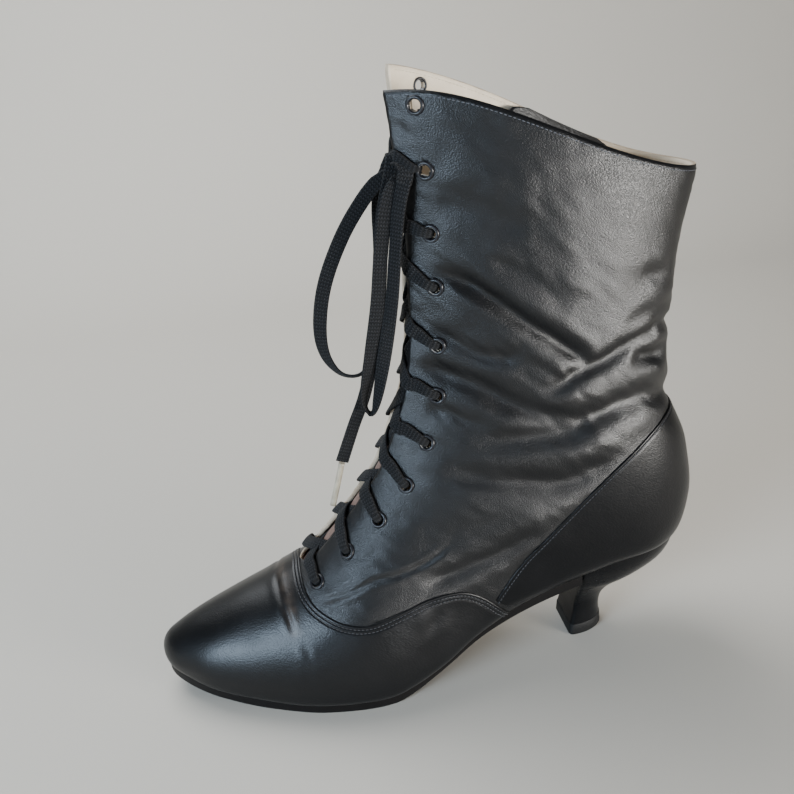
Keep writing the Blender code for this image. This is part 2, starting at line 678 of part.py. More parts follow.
def make_bow():
    """Knot on the lace bar with its two loops, and the free end with its tag."""
    cord("lace_knot", LACE_KNOT, KNOT_CORD, boot, braid)
    cord("lace_loop_front", LOOP_FRONT, LACE_CORD, boot, braid)
    cord("lace_loop_side", LOOP_SIDE, LACE_CORD, boot, braid)
    cord("lace_end", LACE_END, LACE_CORD, boot, braid)
    cord("lace_end_tag", LACE_TAG, TAG_CORD, boot, tag_plastic)


for old in list(bpy.data.objects):
    bpy.data.objects.remove(old, do_unlink=True)

boot = new_collection("laced_boot")
cutters = new_collection("cutters")
leather = make_material("black_leather", LEATHER)
sole_leather = make_material("sole_leather", SOLE_LEATHER)
rubber = make_material("heel_rubber", RUBBER)
lining = make_material("lining_leather", LINING)
enamel = make_material("eyelet_enamel", ENAMEL)
braid = make_material("lace_braid", BRAID)
tag_plastic = make_material("lace_tag", TAG_PLASTIC)

around_upper = skin("form_clearance", form_rings(GAP, COLLAR, ANGLE_STEPS), cutters, fan_end=True)
frames = eyelet_frames()
make_upper(frames.values())
make_outsole(around_upper)
make_insole()
make_heel(around_upper)
make_overlays(around_upper)
make_tongue()
make_eyelets(frames)
make_lacing()
make_bow()
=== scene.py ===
"""Looks of a laced leather boot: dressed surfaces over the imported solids, floor, light and camera."""
import json
import math

import bmesh
import bpy
import numpy as np
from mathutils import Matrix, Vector, noise

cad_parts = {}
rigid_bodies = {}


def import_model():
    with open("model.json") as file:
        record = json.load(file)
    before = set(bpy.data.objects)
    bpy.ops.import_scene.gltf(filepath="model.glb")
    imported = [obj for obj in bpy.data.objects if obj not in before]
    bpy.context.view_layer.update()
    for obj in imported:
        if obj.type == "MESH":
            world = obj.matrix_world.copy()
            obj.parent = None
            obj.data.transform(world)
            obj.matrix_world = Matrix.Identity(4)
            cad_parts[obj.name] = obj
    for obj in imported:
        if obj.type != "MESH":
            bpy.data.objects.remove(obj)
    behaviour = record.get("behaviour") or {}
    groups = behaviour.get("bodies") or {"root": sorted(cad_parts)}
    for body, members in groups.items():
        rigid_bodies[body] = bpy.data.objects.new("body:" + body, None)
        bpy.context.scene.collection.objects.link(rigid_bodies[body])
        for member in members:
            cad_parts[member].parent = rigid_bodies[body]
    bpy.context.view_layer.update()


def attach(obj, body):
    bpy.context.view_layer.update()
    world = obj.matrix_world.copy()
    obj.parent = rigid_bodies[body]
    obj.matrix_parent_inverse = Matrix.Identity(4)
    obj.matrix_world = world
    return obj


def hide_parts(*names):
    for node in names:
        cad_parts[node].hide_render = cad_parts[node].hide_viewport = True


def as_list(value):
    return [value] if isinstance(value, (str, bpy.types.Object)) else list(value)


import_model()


# Upper: quarters and shaft of soft black calf, one hollow shape drawn over the last and
# lined with natural leather. It is open at the collar and the throat, has a hole for each
# eyelet, and its lower edge is lasted under the insole. Lengths here are in millimetres.
MM = 0.001
MIDDLE = np.array([126.55, -2.24, 0.0])
WALL = 1.8
COLLAR = 19.0
THROAT_HALF = 7.0
THROAT_BASE = 5.70
THROAT_FULL = 6.15
LASTING_MARGIN = 12.0
HEEL_SEAT = 12.0
EDGE_ROUND = 1.1
EYELET_HOLE = 2.5
UPPER_ROWS = (14, 180)
UPPER_COLUMNS = 221
ROUND_STEPS = 241
UPPER_DENSE_FROM = 5.2
LASTED_FROM = math.radians(100.0)
EDGE_DROP = 0.55
MERGE_DISTANCE = 0.02
FOOT_MIDDLE = (0.0, 0.0, 0.09)
TINY = 1e-9
SHORTEST_STEP = 1e-7

# The last: l runs from the heel to the toe, y to the medial side, z up. A section runs from
# its front or top point to its back or bottom point.
SECTION_COLUMNS = (
    "front_l", "front_z", "back_l", "back_z", "lateral", "medial", "middle",
    "widest", "front_power", "back_power", "bow", "lead", "turn",
)
SECTIONS = (
    (252.0, 18.6, 252.0, 18.6, 0.0, 0.0, 5.5, 0.60, 1.90, 2.4, 0.0, 0.00, 0.00),
    (249.6, 24.8, 249.6, 13.4, 8.0, 6.0, 5.5, 0.60, 1.90, 2.8, 0.0, 0.00, 0.00),
    (242.8, 30.0, 242.8, 10.6, 15.0, 11.5, 4.6, 0.64, 1.90, 3.4, 0.0, 0.00, 0.00),
    (229.8, 37.4, 229.8, 7.4, 23.5, 18.5, 3.4, 0.68, 1.90, 4.4, 0.0, 0.00, 0.00),
    (210.5, 46.4, 209.0, 4.4, 31.0, 26.5, 1.8, 0.72, 1.88, 5.4, 0.0, 0.00, 0.00),
    (193.0, 54.4, 188.0, 3.2, 37.0, 33.0, 0.6, 0.75, 1.86, 6.0, 0.0, 0.00, 0.00),
    (179.5, 63.2, 166.0, 3.0, 40.2, 36.0, 0.0, 0.77, 1.84, 6.4, 0.0, 0.00, 0.00),
    (166.5, 77.0, 147.0, 3.4, 40.2, 33.5, 0.0, 0.77, 1.80, 6.4, 0.0, 0.00, 0.00),
    (154.0, 92.5, 126.0, 10.8, 35.6, 29.5, 0.0, 0.75, 1.75, 6.0, 0.0, 0.00, 0.00),
    (144.8, 107.5, 103.0, 23.4, 30.8, 28.0, 0.0, 0.72, 1.70, 5.4, 0.0, 0.00, 0.00),
    (138.5, 125.0, 76.0, 34.0, 29.5, 28.5, 0.0, 0.68, 1.65, 4.8, 0.0, 0.00, 0.00),
    (134.5, 140.0, 44.0, 41.2, 29.5, 29.0, 0.0, 0.64, 1.60, 3.8, 0.0, 0.00, 0.00),
    (133.2, 152.0, 13.5, 46.0, 29.0, 28.5, 0.0, 0.60, 1.60, 2.8, 0.0, 0.00, 0.00),
    (132.2, 162.0, 2.2, 68.0, 28.5, 28.0, 0.0, 0.58, 1.60, 2.3, 0.0, 0.00, 0.00),
    (131.3, 173.0, 4.6, 95.0, 27.5, 27.5, 0.0, 0.57, 1.60, 2.2, 0.0, 0.00, 0.00),
    (130.7, 185.0, 12.2, 117.0, 27.0, 27.0, 0.0, 0.56, 1.60, 2.2, 0.0, 0.00, 0.00),
    (129.8, 200.0, 14.4, 140.0, 27.0, 27.0, 0.0, 0.56, 1.60, 2.2, 0.6, 0.00, 0.02),
    (129.4, 219.0, 13.0, 167.0, 27.5, 27.5, 0.0, 0.56, 1.60, 2.2, 1.9, 1.00, 0.08),
    (130.8, 240.5, 9.8, 192.6, 28.0, 28.0, 0.0, 0.56, 1.60, 2.2, 4.1, 3.00, 0.17),
    (132.6, 262.0, 4.3, 218.6, 28.0, 28.0, 0.0, 0.56, 1.60, 2.2, 6.4, 6.10, 0.27),
)
BOW_SCALE = 27.0 / 4.0
SAG_SHARE = 0.68
LEAD_SOFT = 4.0
LEAD_POWER = 6

# Eyelet places: section and distance from the middle line, from the collar down
EYELETS = (
    (18.75, 14.4), (17.69, 14.3), (16.58, 13.5), (15.42, 13.6), (13.60, 13.5), (11.90, 14.4),
    (10.45, 16.0), (9.32, 16.7), (8.20, 17.5), (7.12, 17.9), (6.06, 18.2),
)

# Folds of wear: depth, half width, height of the rims beside it, whether it runs round the
# back, and its stops as section and angle from the front line
FOLDS = (
    (3.0, 3.4, 0.5, False,
     ((15.81, 34), (15.86, 47), (15.77, 58), (15.60, 69), (15.45, 82), (15.34, 93), (15.32, 99))),
    (2.1, 3.2, 0.35, True,
     ((13.71, 70), (14.07, 75), (14.58, 85), (15.09, 96), (15.59, 108), (15.99, 119), (16.32, 134),
      (16.52, 149))),
    (3.1, 3.8, 0.5, False, ((15.74, 119), (15.80, 126), (15.90, 136), (15.99, 146), (16.06, 158))),
    (1.6, 3.3, 0.4, False, ((17.10, 118), (17.22, 129), (17.29, 137), (17.36, 150))),
    (0.8, 2.8, 0.5, False, ((16.20, 112), (16.54, 127), (16.78, 146), (16.84, 166))),
    (2.5, 5.2, 0.7, True,
     ((10.90, 38), (11.69, 54), (12.38, 64), (13.04, 76), (13.90, 94), (14.65, 114), (15.12, 142))),
    (1.6, 5.6, 0.7, False, ((10.30, 46), (10.70, 58), (11.17, 67), (11.86, 78), (12.74, 93), (13.50, 108))),
    (2.4, 4.6, 0.6, False,
     ((12.55, 24), (12.75, 35), (13.04, 48), (13.06, 56), (13.19, 66), (13.44, 76), (13.90, 92))),
    (1.4, 3.4, 0.4, False, ((14.05, 31), (14.03, 41), (14.00, 49), (14.27, 58), (14.69, 68))),
    (1.0, 3.4, 0.4, False, ((11.10, 30), (11.50, 38), (11.81, 46), (12.20, 56))),
    (0.9, 3.6, 0.7, False, ((8.40, 68), (8.90, 75), (9.49, 81), (10.20, 88), (11.24, 92))),
    (0.9, 1.1, 0.35, False,
     ((5.92, 39), (6.30, 42), (6.69, 45), (7.42, 50), (8.09, 58), (8.83, 65), (9.50, 68))),
    (0.6, 1.0, 0.25, False, ((6.35, 39), (6.70, 42), (7.00, 44), (7.45, 47))),
    (0.5, 1.0, 0.20, False, ((6.90, 30), (7.20, 34), (7.50, 40), (7.93, 44))),
    (0.34, 1.2, 0.20, False, ((4.84, 0), (4.89, 15), (4.94, 28), (5.04, 42), (5.08, 54))),
    (0.18, 1.4, 0.12, False, ((5.31, 54), (5.31, 65), (5.23, 76), (5.10, 90))),
    (0.4, 2.8, 0.25, False, ((8.55, 82), (8.25, 85), (7.95, 88))),
    (0.6, 2.2, 0.30, False, ((18.50, 24), (18.30, 27), (18.10, 32))),
    (0.9, 5.5, 0.40, False, ((17.20, 38), (17.31, 55), (17.21, 72))),
    (0.6, 4.0, 0.30, False, ((16.60, 56), (16.46, 68), (16.38, 80), (16.20, 92))),
)
FOLD_TAPER = 0.22
FOLD_FADE = 9.0
FOLD_STEPS = 18
FOLD_REACH = 5.0
FOLD_EASE = 1.5
RIM_PLACE = 2.1
RIM_WIDTH = 1.5
MEDIAL_SHARE = 0.8
LUMP_SIZE = 21.0
LUMP_HEIGHT = 0.45

# Small wrinkles drawn out on a slant, and the line, in l and z, under which the heel is stiffened
WRINKLE_SLANT = math.radians(35.0)
WRINKLE_SIZE = np.array([15.0, 11.0, 4.6])
WRINKLE_HEIGHT = 0.55
WRINKLE_LEVEL = 0.22
WRINKLE_STARTS = (5.6, 6.6)
STIFF_LINE = (
    (-12.0, 118.0), (10.0, 117.0), (22.9, 113.5), (34.0, 106.4), (48.2, 95.6), (66.2, 79.3), (84.3, 62.2),
    (93.7, 50.9), (100.4, 41.2), (116.0, 0.0),
)
STIFF_FADE = (-9.0, 1.0)
STIFF_SHARE = 0.12
NO_STIFF_HEIGHT = -20.0


def to_frame(points):
    """Points in l, y, z millimetres to the part's frame in metres."""
    return (np.asarray(points, float) - MIDDLE) * (-MM, MM, MM)


def smooth(rows, at, before=None):
    """Values at fractional row numbers on a smooth curve through the rows."""
    rows = np.asarray(rows, float)
    if before is None:
        before = 2 * rows[0] - rows[1]
    padded = np.vstack([before, rows, 2 * rows[-1] - rows[-2]])
    at = np.clip(np.asarray(at, float), 0.0, len(rows) - 1.0)
    index = np.minimum(at.astype(int), len(rows) - 2)
    t = (at - index)[..., None]
    a, b, c, d = (padded[index + step] for step in range(4))
    return 0.5 * (2 * b + (c - a) * t + (2 * a - 5 * b + 4 * c - d) * t**2 + (3 * b - a - 3 * c + d) * t**3)


def smooth_line(rows, count):
    """A count of places spread along the smooth curve through the rows."""
    return smooth(rows, np.linspace(0, len(rows) - 1, count))


def fine_curve(stops, steps):
    """Smooth curve through stops, with so many steps from each stop to the next."""
    return smooth_line(stops, steps * (len(stops) - 1) + 1)


def two_rates(start, change, end, counts):
    """Values from a start to an end, evenly spaced in two parts of the given counts."""
    return np.concatenate([np.linspace(start, change, counts[0]), np.linspace(change, end, counts[1])[1:]])


def unit(vectors):
    """Directions of vectors, each of length 1."""
    return vectors / np.maximum(np.linalg.norm(vectors, axis=-1, keepdims=True), TINY)


def sections_at(section):
    """Section values at fractional section numbers, one dictionary of columns."""
    rows = np.array(SECTIONS)
    under_toe = rows[1].copy()
    under_toe[[1, 3]] = rows[1][[3, 1]]
    under_toe[[4, 5]] *= -1.0
    values = smooth(rows, section, under_toe)
    return dict(zip(SECTION_COLUMNS, np.moveaxis(values, -1, 0)))


def bare_last(section, angle):
    """Points of the last. Angle 0 is the front line, negative is lateral."""
    section, angle = np.broadcast_arrays(np.asarray(section, float), np.asarray(angle, float))
    s = sections_at(section)
    angle = (angle + math.pi) % (2 * math.pi) - math.pi
    size = np.abs(angle)
    in_front = size <= math.pi / 2
    power = 2.0 / np.where(in_front, s["front_power"], s["back_power"])
    reach = np.abs(np.cos(size)) ** power
    along = np.where(in_front, s["widest"] * (1 - reach), s["widest"] + (1 - s["widest"]) * reach)
    y = s["middle"] + np.where(angle < 0, -s["lateral"], s["medial"]) * np.abs(np.sin(size)) ** power
    bow = s["bow"] * BOW_SCALE * along * (1 - along) * (1 - along - SAG_SHARE * along)
    lead = s["lead"] * y / np.hypot(y, LEAD_SOFT) * (1 - along) ** LEAD_POWER
    l = s["front_l"] + (s["back_l"] - s["front_l"]) * along - s["turn"] * y * (1 - along)
    z = s["front_z"] + (s["back_z"] - s["front_z"]) * along + bow + lead
    return np.stack([l, y, z], axis=-1)


def slopes(section, angle, step=0.004):
    """Changes of the last's points with the section and with the angle."""
    section = np.clip(section, 3 * step, COLLAR - step)
    ahead = (bare_last(section + step, angle) - bare_last(section - step, angle)) / (2 * step)
    around = (bare_last(section, angle + step) - bare_last(section, angle - step)) / (2 * step)
    return ahead, around


def outward(section, angle):
    """Directions out of the last's surface."""
    ahead, around = slopes(section, angle)
    return unit(np.cross(around, ahead))


def edge_angle(section, side):
    """Angle on the front half of a section at a distance from the middle line."""
    section, side = np.broadcast_arrays(np.asarray(section, float), np.asarray(side, float))
    s = sections_at(section)
    ratio = np.abs(side - s["middle"]) / np.maximum(np.where(side < 0, s["lateral"], s["medial"]), TINY)
    ratio = np.where(side == 0.0, 0.0, np.minimum(1.0, ratio))
    return np.sign(side) * np.arcsin(ratio ** (s["front_power"] / 2))


def turned(section, turn):
    """Angle of a turn round a section: 0 is the front line, 1 the widest place, 2 the back line."""
    s = sections_at(section)
    size = np.abs(turn)
    part = np.clip(np.where(size <= 1.0, size, size - 1.0), 0.0, 1.0)
    power = np.where(size <= 1.0, s["front_power"], s["back_power"]) / 2
    ease = part**power / (part**power + (1.0 - part) ** power)
    return np.sign(turn) * (ease + (size > 1.0)) * math.pi / 2


def turn_at(section, angle):
    """Turn of an angle round a section."""
    s = sections_at(section)
    size = np.abs(angle) / (math.pi / 2)
    ease = np.clip(np.where(size <= 1.0, size, size - 1.0), 0.0, 1.0 - TINY)
    power = np.where(size <= 1.0, s["front_power"], s["back_power"]) / 2
    ratio = (ease / (1.0 - ease)) ** (1.0 / power)
    return np.sign(angle) * (ratio / (1.0 + ratio) + (size > 1.0))


def run_along(points):
    """Lengths along each line of points from its first point."""
    steps = np.linalg.norm(np.diff(points, axis=-2), axis=-1) + SHORTEST_STEP
    return np.concatenate([np.zeros_like(steps[..., :1]), np.cumsum(steps, axis=-1)], axis=-1)


def fold_paths():
    """Lines of the folds on both sides of the last, with depth, width and rim."""
    for depth, width, rim, goes_round, stops in FOLDS:
        sides = [(-1.0, 1.0), (1.0, MEDIAL_SHARE)]
        route = np.array(stops, float)
        if goes_round:
            mirrored = (route * (1.0, -1.0) + (0.0, 360.0))[::-1]
            route = np.vstack([route, mirrored])
            sides = sides[:1]
        line = fine_curve(route, FOLD_STEPS)
        for hand, share in sides:
            yield bare_last(line[:, 0], hand * np.radians(line[:, 1])), depth * share, width, rim * share


FOLD_LINES = list(fold_paths())


def relief(section, angle, wrinkled):
    """Height of the folds, small wrinkles and soft lumps of the leather."""
    points = bare_last(section, angle)
    flat = points.reshape(-1, 3)
    height = np.zeros(len(flat))
    for path, depth, width, rim in FOLD_LINES:
        margin = FOLD_REACH * width
        near = np.flatnonzero(((flat > path.min(0) - margin) & (flat < path.max(0) + margin)).all(axis=1))
        if not len(near):
            continue
        apart = np.linalg.norm(flat[near, None] - path[None], axis=2)
        nearest = apart.argmin(axis=1)
        away = apart[np.arange(len(near)), nearest] / width
        run = nearest / (len(path) - 1)
        fade = np.clip(FOLD_FADE / run_along(path)[-1], FOLD_TAPER, 0.5)
        taper = np.sin(0.5 * math.pi * np.clip(np.minimum(run, 1 - run) / fade, 0, 1)) ** FOLD_EASE
        rims = rim * np.exp(-((away - RIM_PLACE) / RIM_WIDTH) ** 2)
        height[near] += taper * (rims - depth * np.exp(-away**2))
    line = np.array(STIFF_LINE)
    below = np.interp(flat[:, 0], line[:, 0], line[:, 1], right=NO_STIFF_HEIGHT) - flat[:, 2]
    stiff = np.clip((below - STIFF_FADE[0]) / (STIFF_FADE[1] - STIFF_FADE[0]), 0.0, 1.0)
    lean, rise = math.cos(WRINKLE_SLANT), math.sin(WRINKLE_SLANT)
    along, across, up = flat.T
    slanted = np.stack([lean * along + rise * up, across, lean * up - rise * along], axis=1) / WRINKLE_SIZE
    wrinkle = np.array([abs(noise.noise(Vector(point))) for point in slanted]) - WRINKLE_LEVEL
    low, high = WRINKLE_STARTS
    soft = np.clip((np.broadcast_to(section, points.shape[:-1]).ravel() - low) / (high - low), 0.0, 1.0)
    height = (height + wrinkled * soft * WRINKLE_HEIGHT * wrinkle) * (1.0 - (1.0 - STIFF_SHARE) * stiff)
    lumps = np.array([noise.noise(Vector(point / LUMP_SIZE)) for point in flat])
    return (height + LUMP_HEIGHT * lumps).reshape(points.shape[:-1])


def dressed(section, angle, lift=0.0, wrinkled=1.0):
    """Surface of the leather at a lift above the last, with its folds."""
    height = np.asarray(lift + relief(section, angle, wrinkled))
    return bare_last(section, angle) + height[..., None] * outward(section, angle)


def new_object(name, data):
    """Object in the scene with a mesh, lamp or camera."""
    item = bpy.data.objects.new(name, data)
    bpy.context.scene.collection.objects.link(item)
    return item


def sheet(name, points, keep=None):
    """Object with a mesh of quads through a grid of points, facing away from the boot's middle."""
    rows, columns = points.shape[:2]
    index = np.arange(rows * columns).reshape(rows, columns)
    quads = np.stack([index[:-1, :-1], index[1:, :-1], index[1:, 1:], index[:-1, 1:]], axis=-1)
    quads = quads.reshape(-1, 4) if keep is None else quads[keep]
    mesh = bpy.data.meshes.new(name)
    mesh.from_pydata(to_frame(points).reshape(-1, 3), [], quads.tolist())
    bm = bmesh.new()
    bm.from_mesh(mesh)
    bmesh.ops.remove_doubles(bm, verts=bm.verts, dist=MERGE_DISTANCE * MM)
    bmesh.ops.delete(bm, geom=[v for v in bm.verts if not v.link_faces], context="VERTS")
    middle = Vector(FOOT_MIDDLE)
    if sum(f.calc_area() * f.normal.dot(f.calc_center_median() - middle) for f in bm.faces) < 0:
        bmesh.ops.reverse_faces(bm, faces=bm.faces)
    for face in bm.faces:
        face.smooth = True
    bm.to_mesh(mesh)
    bm.free()
    return new_object(name, mesh)


def settle(item):
    """Makes the result of an object's modifiers its own mesh."""
    graph = bpy.context.evaluated_depsgraph_get()
    mesh = bpy.data.meshes.new_from_object(item.evaluated_get(graph))
    item.modifiers.clear()
    item.data = mesh
    return item


def give_wall(item, wall, materials, offset=-1.0):
    """Gives a sheet its thickness, to the inside as a rule, with materials for face, back and cut edge."""
    for material in materials:
        item.data.materials.append(material)
    solidify = item.modifiers.new("Wall", "SOLIDIFY")
    solidify.thickness = wall * MM
    solidify.offset = offset
    solidify.material_offset = 1
    solidify.material_offset_rim = 2
    return settle(item)


def dress(item, slot, *nodes):
    """Fixes a finished piece to the part in place of its plain solids."""
    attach(item, "root")
    if nodes:
        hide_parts(*nodes)
    return item


def new_tree(kind, name, inputs, outputs):
    """Node group with named sockets, given as name and type and, where it has one, a default."""
    tree = bpy.data.node_groups.new(name, kind)
    for way, sockets in (("INPUT", inputs), ("OUTPUT", outputs)):
        for label, socket_type, *default in sockets:
            socket = tree.interface.new_socket(label, in_out=way, socket_type=f"NodeSocket{socket_type}")
            if default:
                socket.default_value = default[0]
    return tree, tree.nodes.new("NodeGroupInput").outputs, tree.nodes.new("NodeGroupOutput")


def feed(tree, node, **inputs):
    """Sets inputs of a node, each by a value or another node's socket; _0 is its first input."""
    for key, value in inputs.items():
        socket = node.inputs[int(key[1:])] if key[0] == "_" else node.inputs[key.replace("_", " ")]
        if isinstance(value, bpy.types.NodeSocket):
            tree.links.new(value, socket)
        else:
            socket.default_value = value


def add(tree, kind, settings=None, out=0, **inputs):
    """Output socket of a new node with its settings and inputs."""
    node = tree.nodes.new(kind)
    for key, value in (settings or {}).items():
        setattr(node, key, value)
    feed(tree, node, **inputs)
    return node.outputs[out]


def maths(tree, operation, first, second=0.0):
    """Result of a sum on sockets or numbers."""
    return add(tree, "ShaderNodeMath", {"operation": operation}, _0=first, _1=second)


def calf_grain_group():
    """Grain of soft calf: fine cells and short wrinkles drawn out on a slant, uneven tone, scuffs."""
    inputs = (("Grain Size", "Float", 0.001), ("Draw", "Float", 0.45), ("Wrinkle", "Float", 0.5))
    outputs = (("Height", "Float"), ("Tone", "Float"), ("Scuff", "Float"))
    tree, start, end = new_tree("ShaderNodeTree", "calf_grain", inputs, outputs)
    place = add(tree, "ShaderNodeTexCoord", out="Object")
    slanted = add(tree, "ShaderNodeVectorRotate", {"rotation_type": "Y_AXIS"}, Vector=place,
                  Angle=-WRINKLE_SLANT)
    draw = add(tree, "ShaderNodeCombineXYZ", X=start["Draw"], Y=1.0, Z=1.0)
    drawn = add(tree, "ShaderNodeVectorMath", {"operation": "MULTIPLY"}, _0=slanted, _1=draw)
    size = maths(tree, "DIVIDE", 1.0, start["Grain Size"])
    sized = add(tree, "ShaderNodeVectorMath", {"operation": "SCALE"}, _0=drawn, Scale=size)
    cells = add(tree, "ShaderNodeTexVoronoi", {"feature": "F1"}, "Distance", Vector=sized, Scale=1.0,
                Randomness=1.0)
    creased = add(tree, "ShaderNodeTexNoise", out="Fac", Vector=sized, Scale=0.34, Detail=4.0, Roughness=0.6,
                  Distortion=0.9)
    wrinkle = maths(tree, "MULTIPLY", creased, start["Wrinkle"])
    height = maths(tree, "SUBTRACT", wrinkle, maths(tree, "MULTIPLY", cells, 0.5))
    tone = add(tree, "ShaderNodeTexNoise", out="Fac", Vector=place, Scale=38.0, Detail=4.0, Roughness=0.6)
    streak = add(tree, "ShaderNodeTexNoise", out="Fac", Vector=drawn, Scale=210.0, Detail=6.0, Roughness=0.75,
                 Distortion=1.6)
    scuff = add(tree, "ShaderNodeMapRange", Value=streak, From_Min=0.66, From_Max=0.80)
    feed(tree, end, Height=height, Tone=tone, Scuff=scuff)
    return tree


CALF_GRAIN = calf_grain_group()
GRAIN_DEPTH = 0.5
FINE_DEPTH = 0.3
BLACK_CALF = (0.0013, 0.0014, 0.0018)
GREY_CALF = (0.0032, 0.0033, 0.0038)
WORN_CALF = (0.115, 0.083, 0.060)
SCUFF_COLOUR = (0.06, 0.06, 0.06)
SCUFF_SHARE = 0.10


def new_material(name):
    """Material with its node tree and main shader."""
    material = bpy.data.materials.new(name)
    material.use_nodes = True
    tree = material.node_tree
    return material, tree, tree.nodes["Principled BSDF"]


def colour_mix(tree, factor, *colours):
    """Mix of two colours or colour sockets."""
    first, second = (c if isinstance(c, bpy.types.NodeSocket) else (*c, 1.0) for c in colours)
    return add(tree, "ShaderNodeMix", {"data_type": "RGBA"}, 2, _0=factor, _6=first, _7=second)


def calf_material(name, grain_size, wrinkle, depth, roughness, worn_and_lit_colour=WORN_CALF, specular=0.42):
    """Black glazed calf with grain, uneven gloss, light scuffs, and places coloured by a point value: rubbed
    wear, and on the tongue also painted light.
    """
    material, tree, shader = new_material(name)
    grain = tree.nodes.new("ShaderNodeGroup")
    grain.node_tree = CALF_GRAIN
    feed(tree, grain, Grain_Size=grain_size * MM, Wrinkle=wrinkle)
    height, tone, scuff = grain.outputs
    base = colour_mix(tree, tone, BLACK_CALF, GREY_CALF)
    scuffed = colour_mix(tree, maths(tree, "MULTIPLY", scuff, SCUFF_SHARE), base, SCUFF_COLOUR)
    # Point value for rubbed places; on the tongue it also carries painted light
    wear_and_light = add(tree, "ShaderNodeAttribute", {"attribute_name": "wear_and_light"}, "Fac")
    low, high = roughness
    gloss = add(tree, "ShaderNodeMapRange", Value=tone, From_Min=0.3, From_Max=0.7, To_Min=low, To_Max=high)
    bump = add(tree, "ShaderNodeBump", Strength=depth, Distance=GRAIN_DEPTH * MM, Height=height)
    feed(tree, shader, Base_Color=colour_mix(tree, wear_and_light, scuffed, worn_and_lit_colour), Roughness=gloss, Normal=bump,
         Specular_IOR_Level=specular)
    return material


def plain_grain_material(name, dark, light, spot_size, roughness, depth, specular=0.5):
    """Matt material with a mottled colour and a fine uneven face."""
    material, tree, shader = new_material(name)
    place = add(tree, "ShaderNodeTexCoord", out="Object")
    mottle = add(tree, "ShaderNodeTexNoise", out="Fac", Vector=place, Scale=1.0 / (spot_size * MM), Detail=6.0,
                 Roughness=0.65)
    fine = add(tree, "ShaderNodeTexNoise", out="Fac", Vector=place, Scale=1400.0, Detail=3.0)
    bump = add(tree, "ShaderNodeBump", Strength=depth, Distance=FINE_DEPTH * MM, Height=fine)
    feed(tree, shader, Base_Color=colour_mix(tree, mottle, dark, light), Normal=bump, Roughness=roughness,
         Specular_IOR_Level=specular)
    return material


black_calf = calf_material("black_calf", 0.34, 0.17, 0.46, (0.30, 0.38))
natural_lining = plain_grain_material("natural_lining", (0.50, 0.41, 0.30), (0.72, 0.63, 0.50), 9.0, 0.72, 0.25)
raw_edge = plain_grain_material("raw_edge", (0.30, 0.23, 0.16), (0.56, 0.46, 0.34), 3.0, 0.85, 0.4)


def spot(at, side, lift=0.0):
    """Point over the leather at a section and distance from the middle line, and its normal."""
    angle = edge_angle(at, side)
    return dressed(at, angle, lift), outward(at, angle)


def throat_half(section):
    """Half width of the throat, with a round base."""
    rest = np.clip((THROAT_FULL - section) / (THROAT_FULL - THROAT_BASE), 0.0, 1.0)
    return THROAT_HALF * np.sqrt(1.0 - rest**2)


def edge_rolls(distance):
    """Drop of a face that rounds over towards its edge."""
    return -EDGE_DROP * np.clip(1.0 - distance / EDGE_ROUND, 0.0, 1.0) ** 2


def make_upper():
    section = two_rates(0.0, UPPER_DENSE_FROM, COLLAR, UPPER_ROWS)
    half = throat_half(section)
    edges = np.stack([edge_angle(section, half), 2 * math.pi + edge_angle(section, -half)], axis=1)
    section = section[:, None]
    turn = np.linspace(0.0, 4.0, ROUND_STEPS)[None]
    round_angle = np.where(turn <= 2.0, turned(section, turn), 2 * math.pi - turned(section, 4.0 - turn))
    angle = []
    for way, stops, ends in zip(run_along(bare_last(section, round_angle)), round_angle, edges):
        even = np.interp(np.linspace(*np.interp(ends, stops, way), UPPER_COLUMNS), way, stops)
        angle.append([ends[0], *even[1:-1], ends[1]])
    angle = np.array(angle)
    section = np.broadcast_to(section, angle.shape)
    points = dressed(section, angle)
    rise = np.linalg.norm(slopes(section, angle)[0], axis=-1)
    to_collar = (COLLAR - section) * rise
    points += edge_rolls(to_collar)[..., None] * outward(section, angle)
    middle = 0.25 * (points[:-1, :-1] + points[1:, :-1] + points[1:, 1:] + points[:-1, 1:])
    keep = np.ones(middle.shape[:2], bool)
    for at, side in EYELETS:
        for hand in (-1.0, 1.0):
            keep &= np.linalg.norm(middle - spot(at, hand * side)[0], axis=-1) > EYELET_HOLE
    s = sections_at(section[:-1, :-1])
    inside = np.abs(middle[..., 1] - s["middle"]) < np.minimum(s["lateral"], s["medial"]) - LASTING_MARGIN
    from_front = (angle[:-1, :-1] + math.pi) % (2 * math.pi) - math.pi
    keep &= ~((np.abs(from_front) > LASTED_FROM) & (section[:-1, :-1] < HEEL_SEAT) & inside)
    upper = sheet("upper_leather", points, keep)
    return give_wall(upper, WALL, (black_calf, natural_lining, raw_edge))


dress(make_upper(), "black_leather", "upper")


# Vamp: black calf over the toe and along both sides of the foot, lapped over the quarters and
# sewn down with two rows of stitches along a wavy seam. Its lower edge is lasted under the sole.
OVERLAY_LIFT = 1.2
OVERLAY_THICKNESS = 0.85
OVERLAY_EDGE = 0.62
OVERLAY_SKIVE = 6.0
EDGE_SOFT = 0.6
OVERLAY_WRINKLED = 0.2
VAMP_COLUMNS = 211
VAMP_ROWS = (100, 44)
VAMP_DENSE = 0.9
VAMP_FOOT = 2.0
STITCH_ROWS = (1.5, 3.1)
STITCH_SINK = 0.22
STITCH_GROOVE = 0.45
VAMP_TUCK = (0.7, 1.6)
SKIVE_DROP = 0.35

# Line of the flex crease where the vamp is rubbed, as section and angle, and the look of its wear
FLEX_WEAR = ((5.03, 4), (5.08, 16), (5.13, 31), (5.15, 42), (5.14, 50))
FLEX_WIDTH = 2.6
FLEX_STRENGTH = 0.35
WEAR_PATCH = 3.0
WEAR_LEVEL = 0.75
WEAR_SPREAD = 0.8

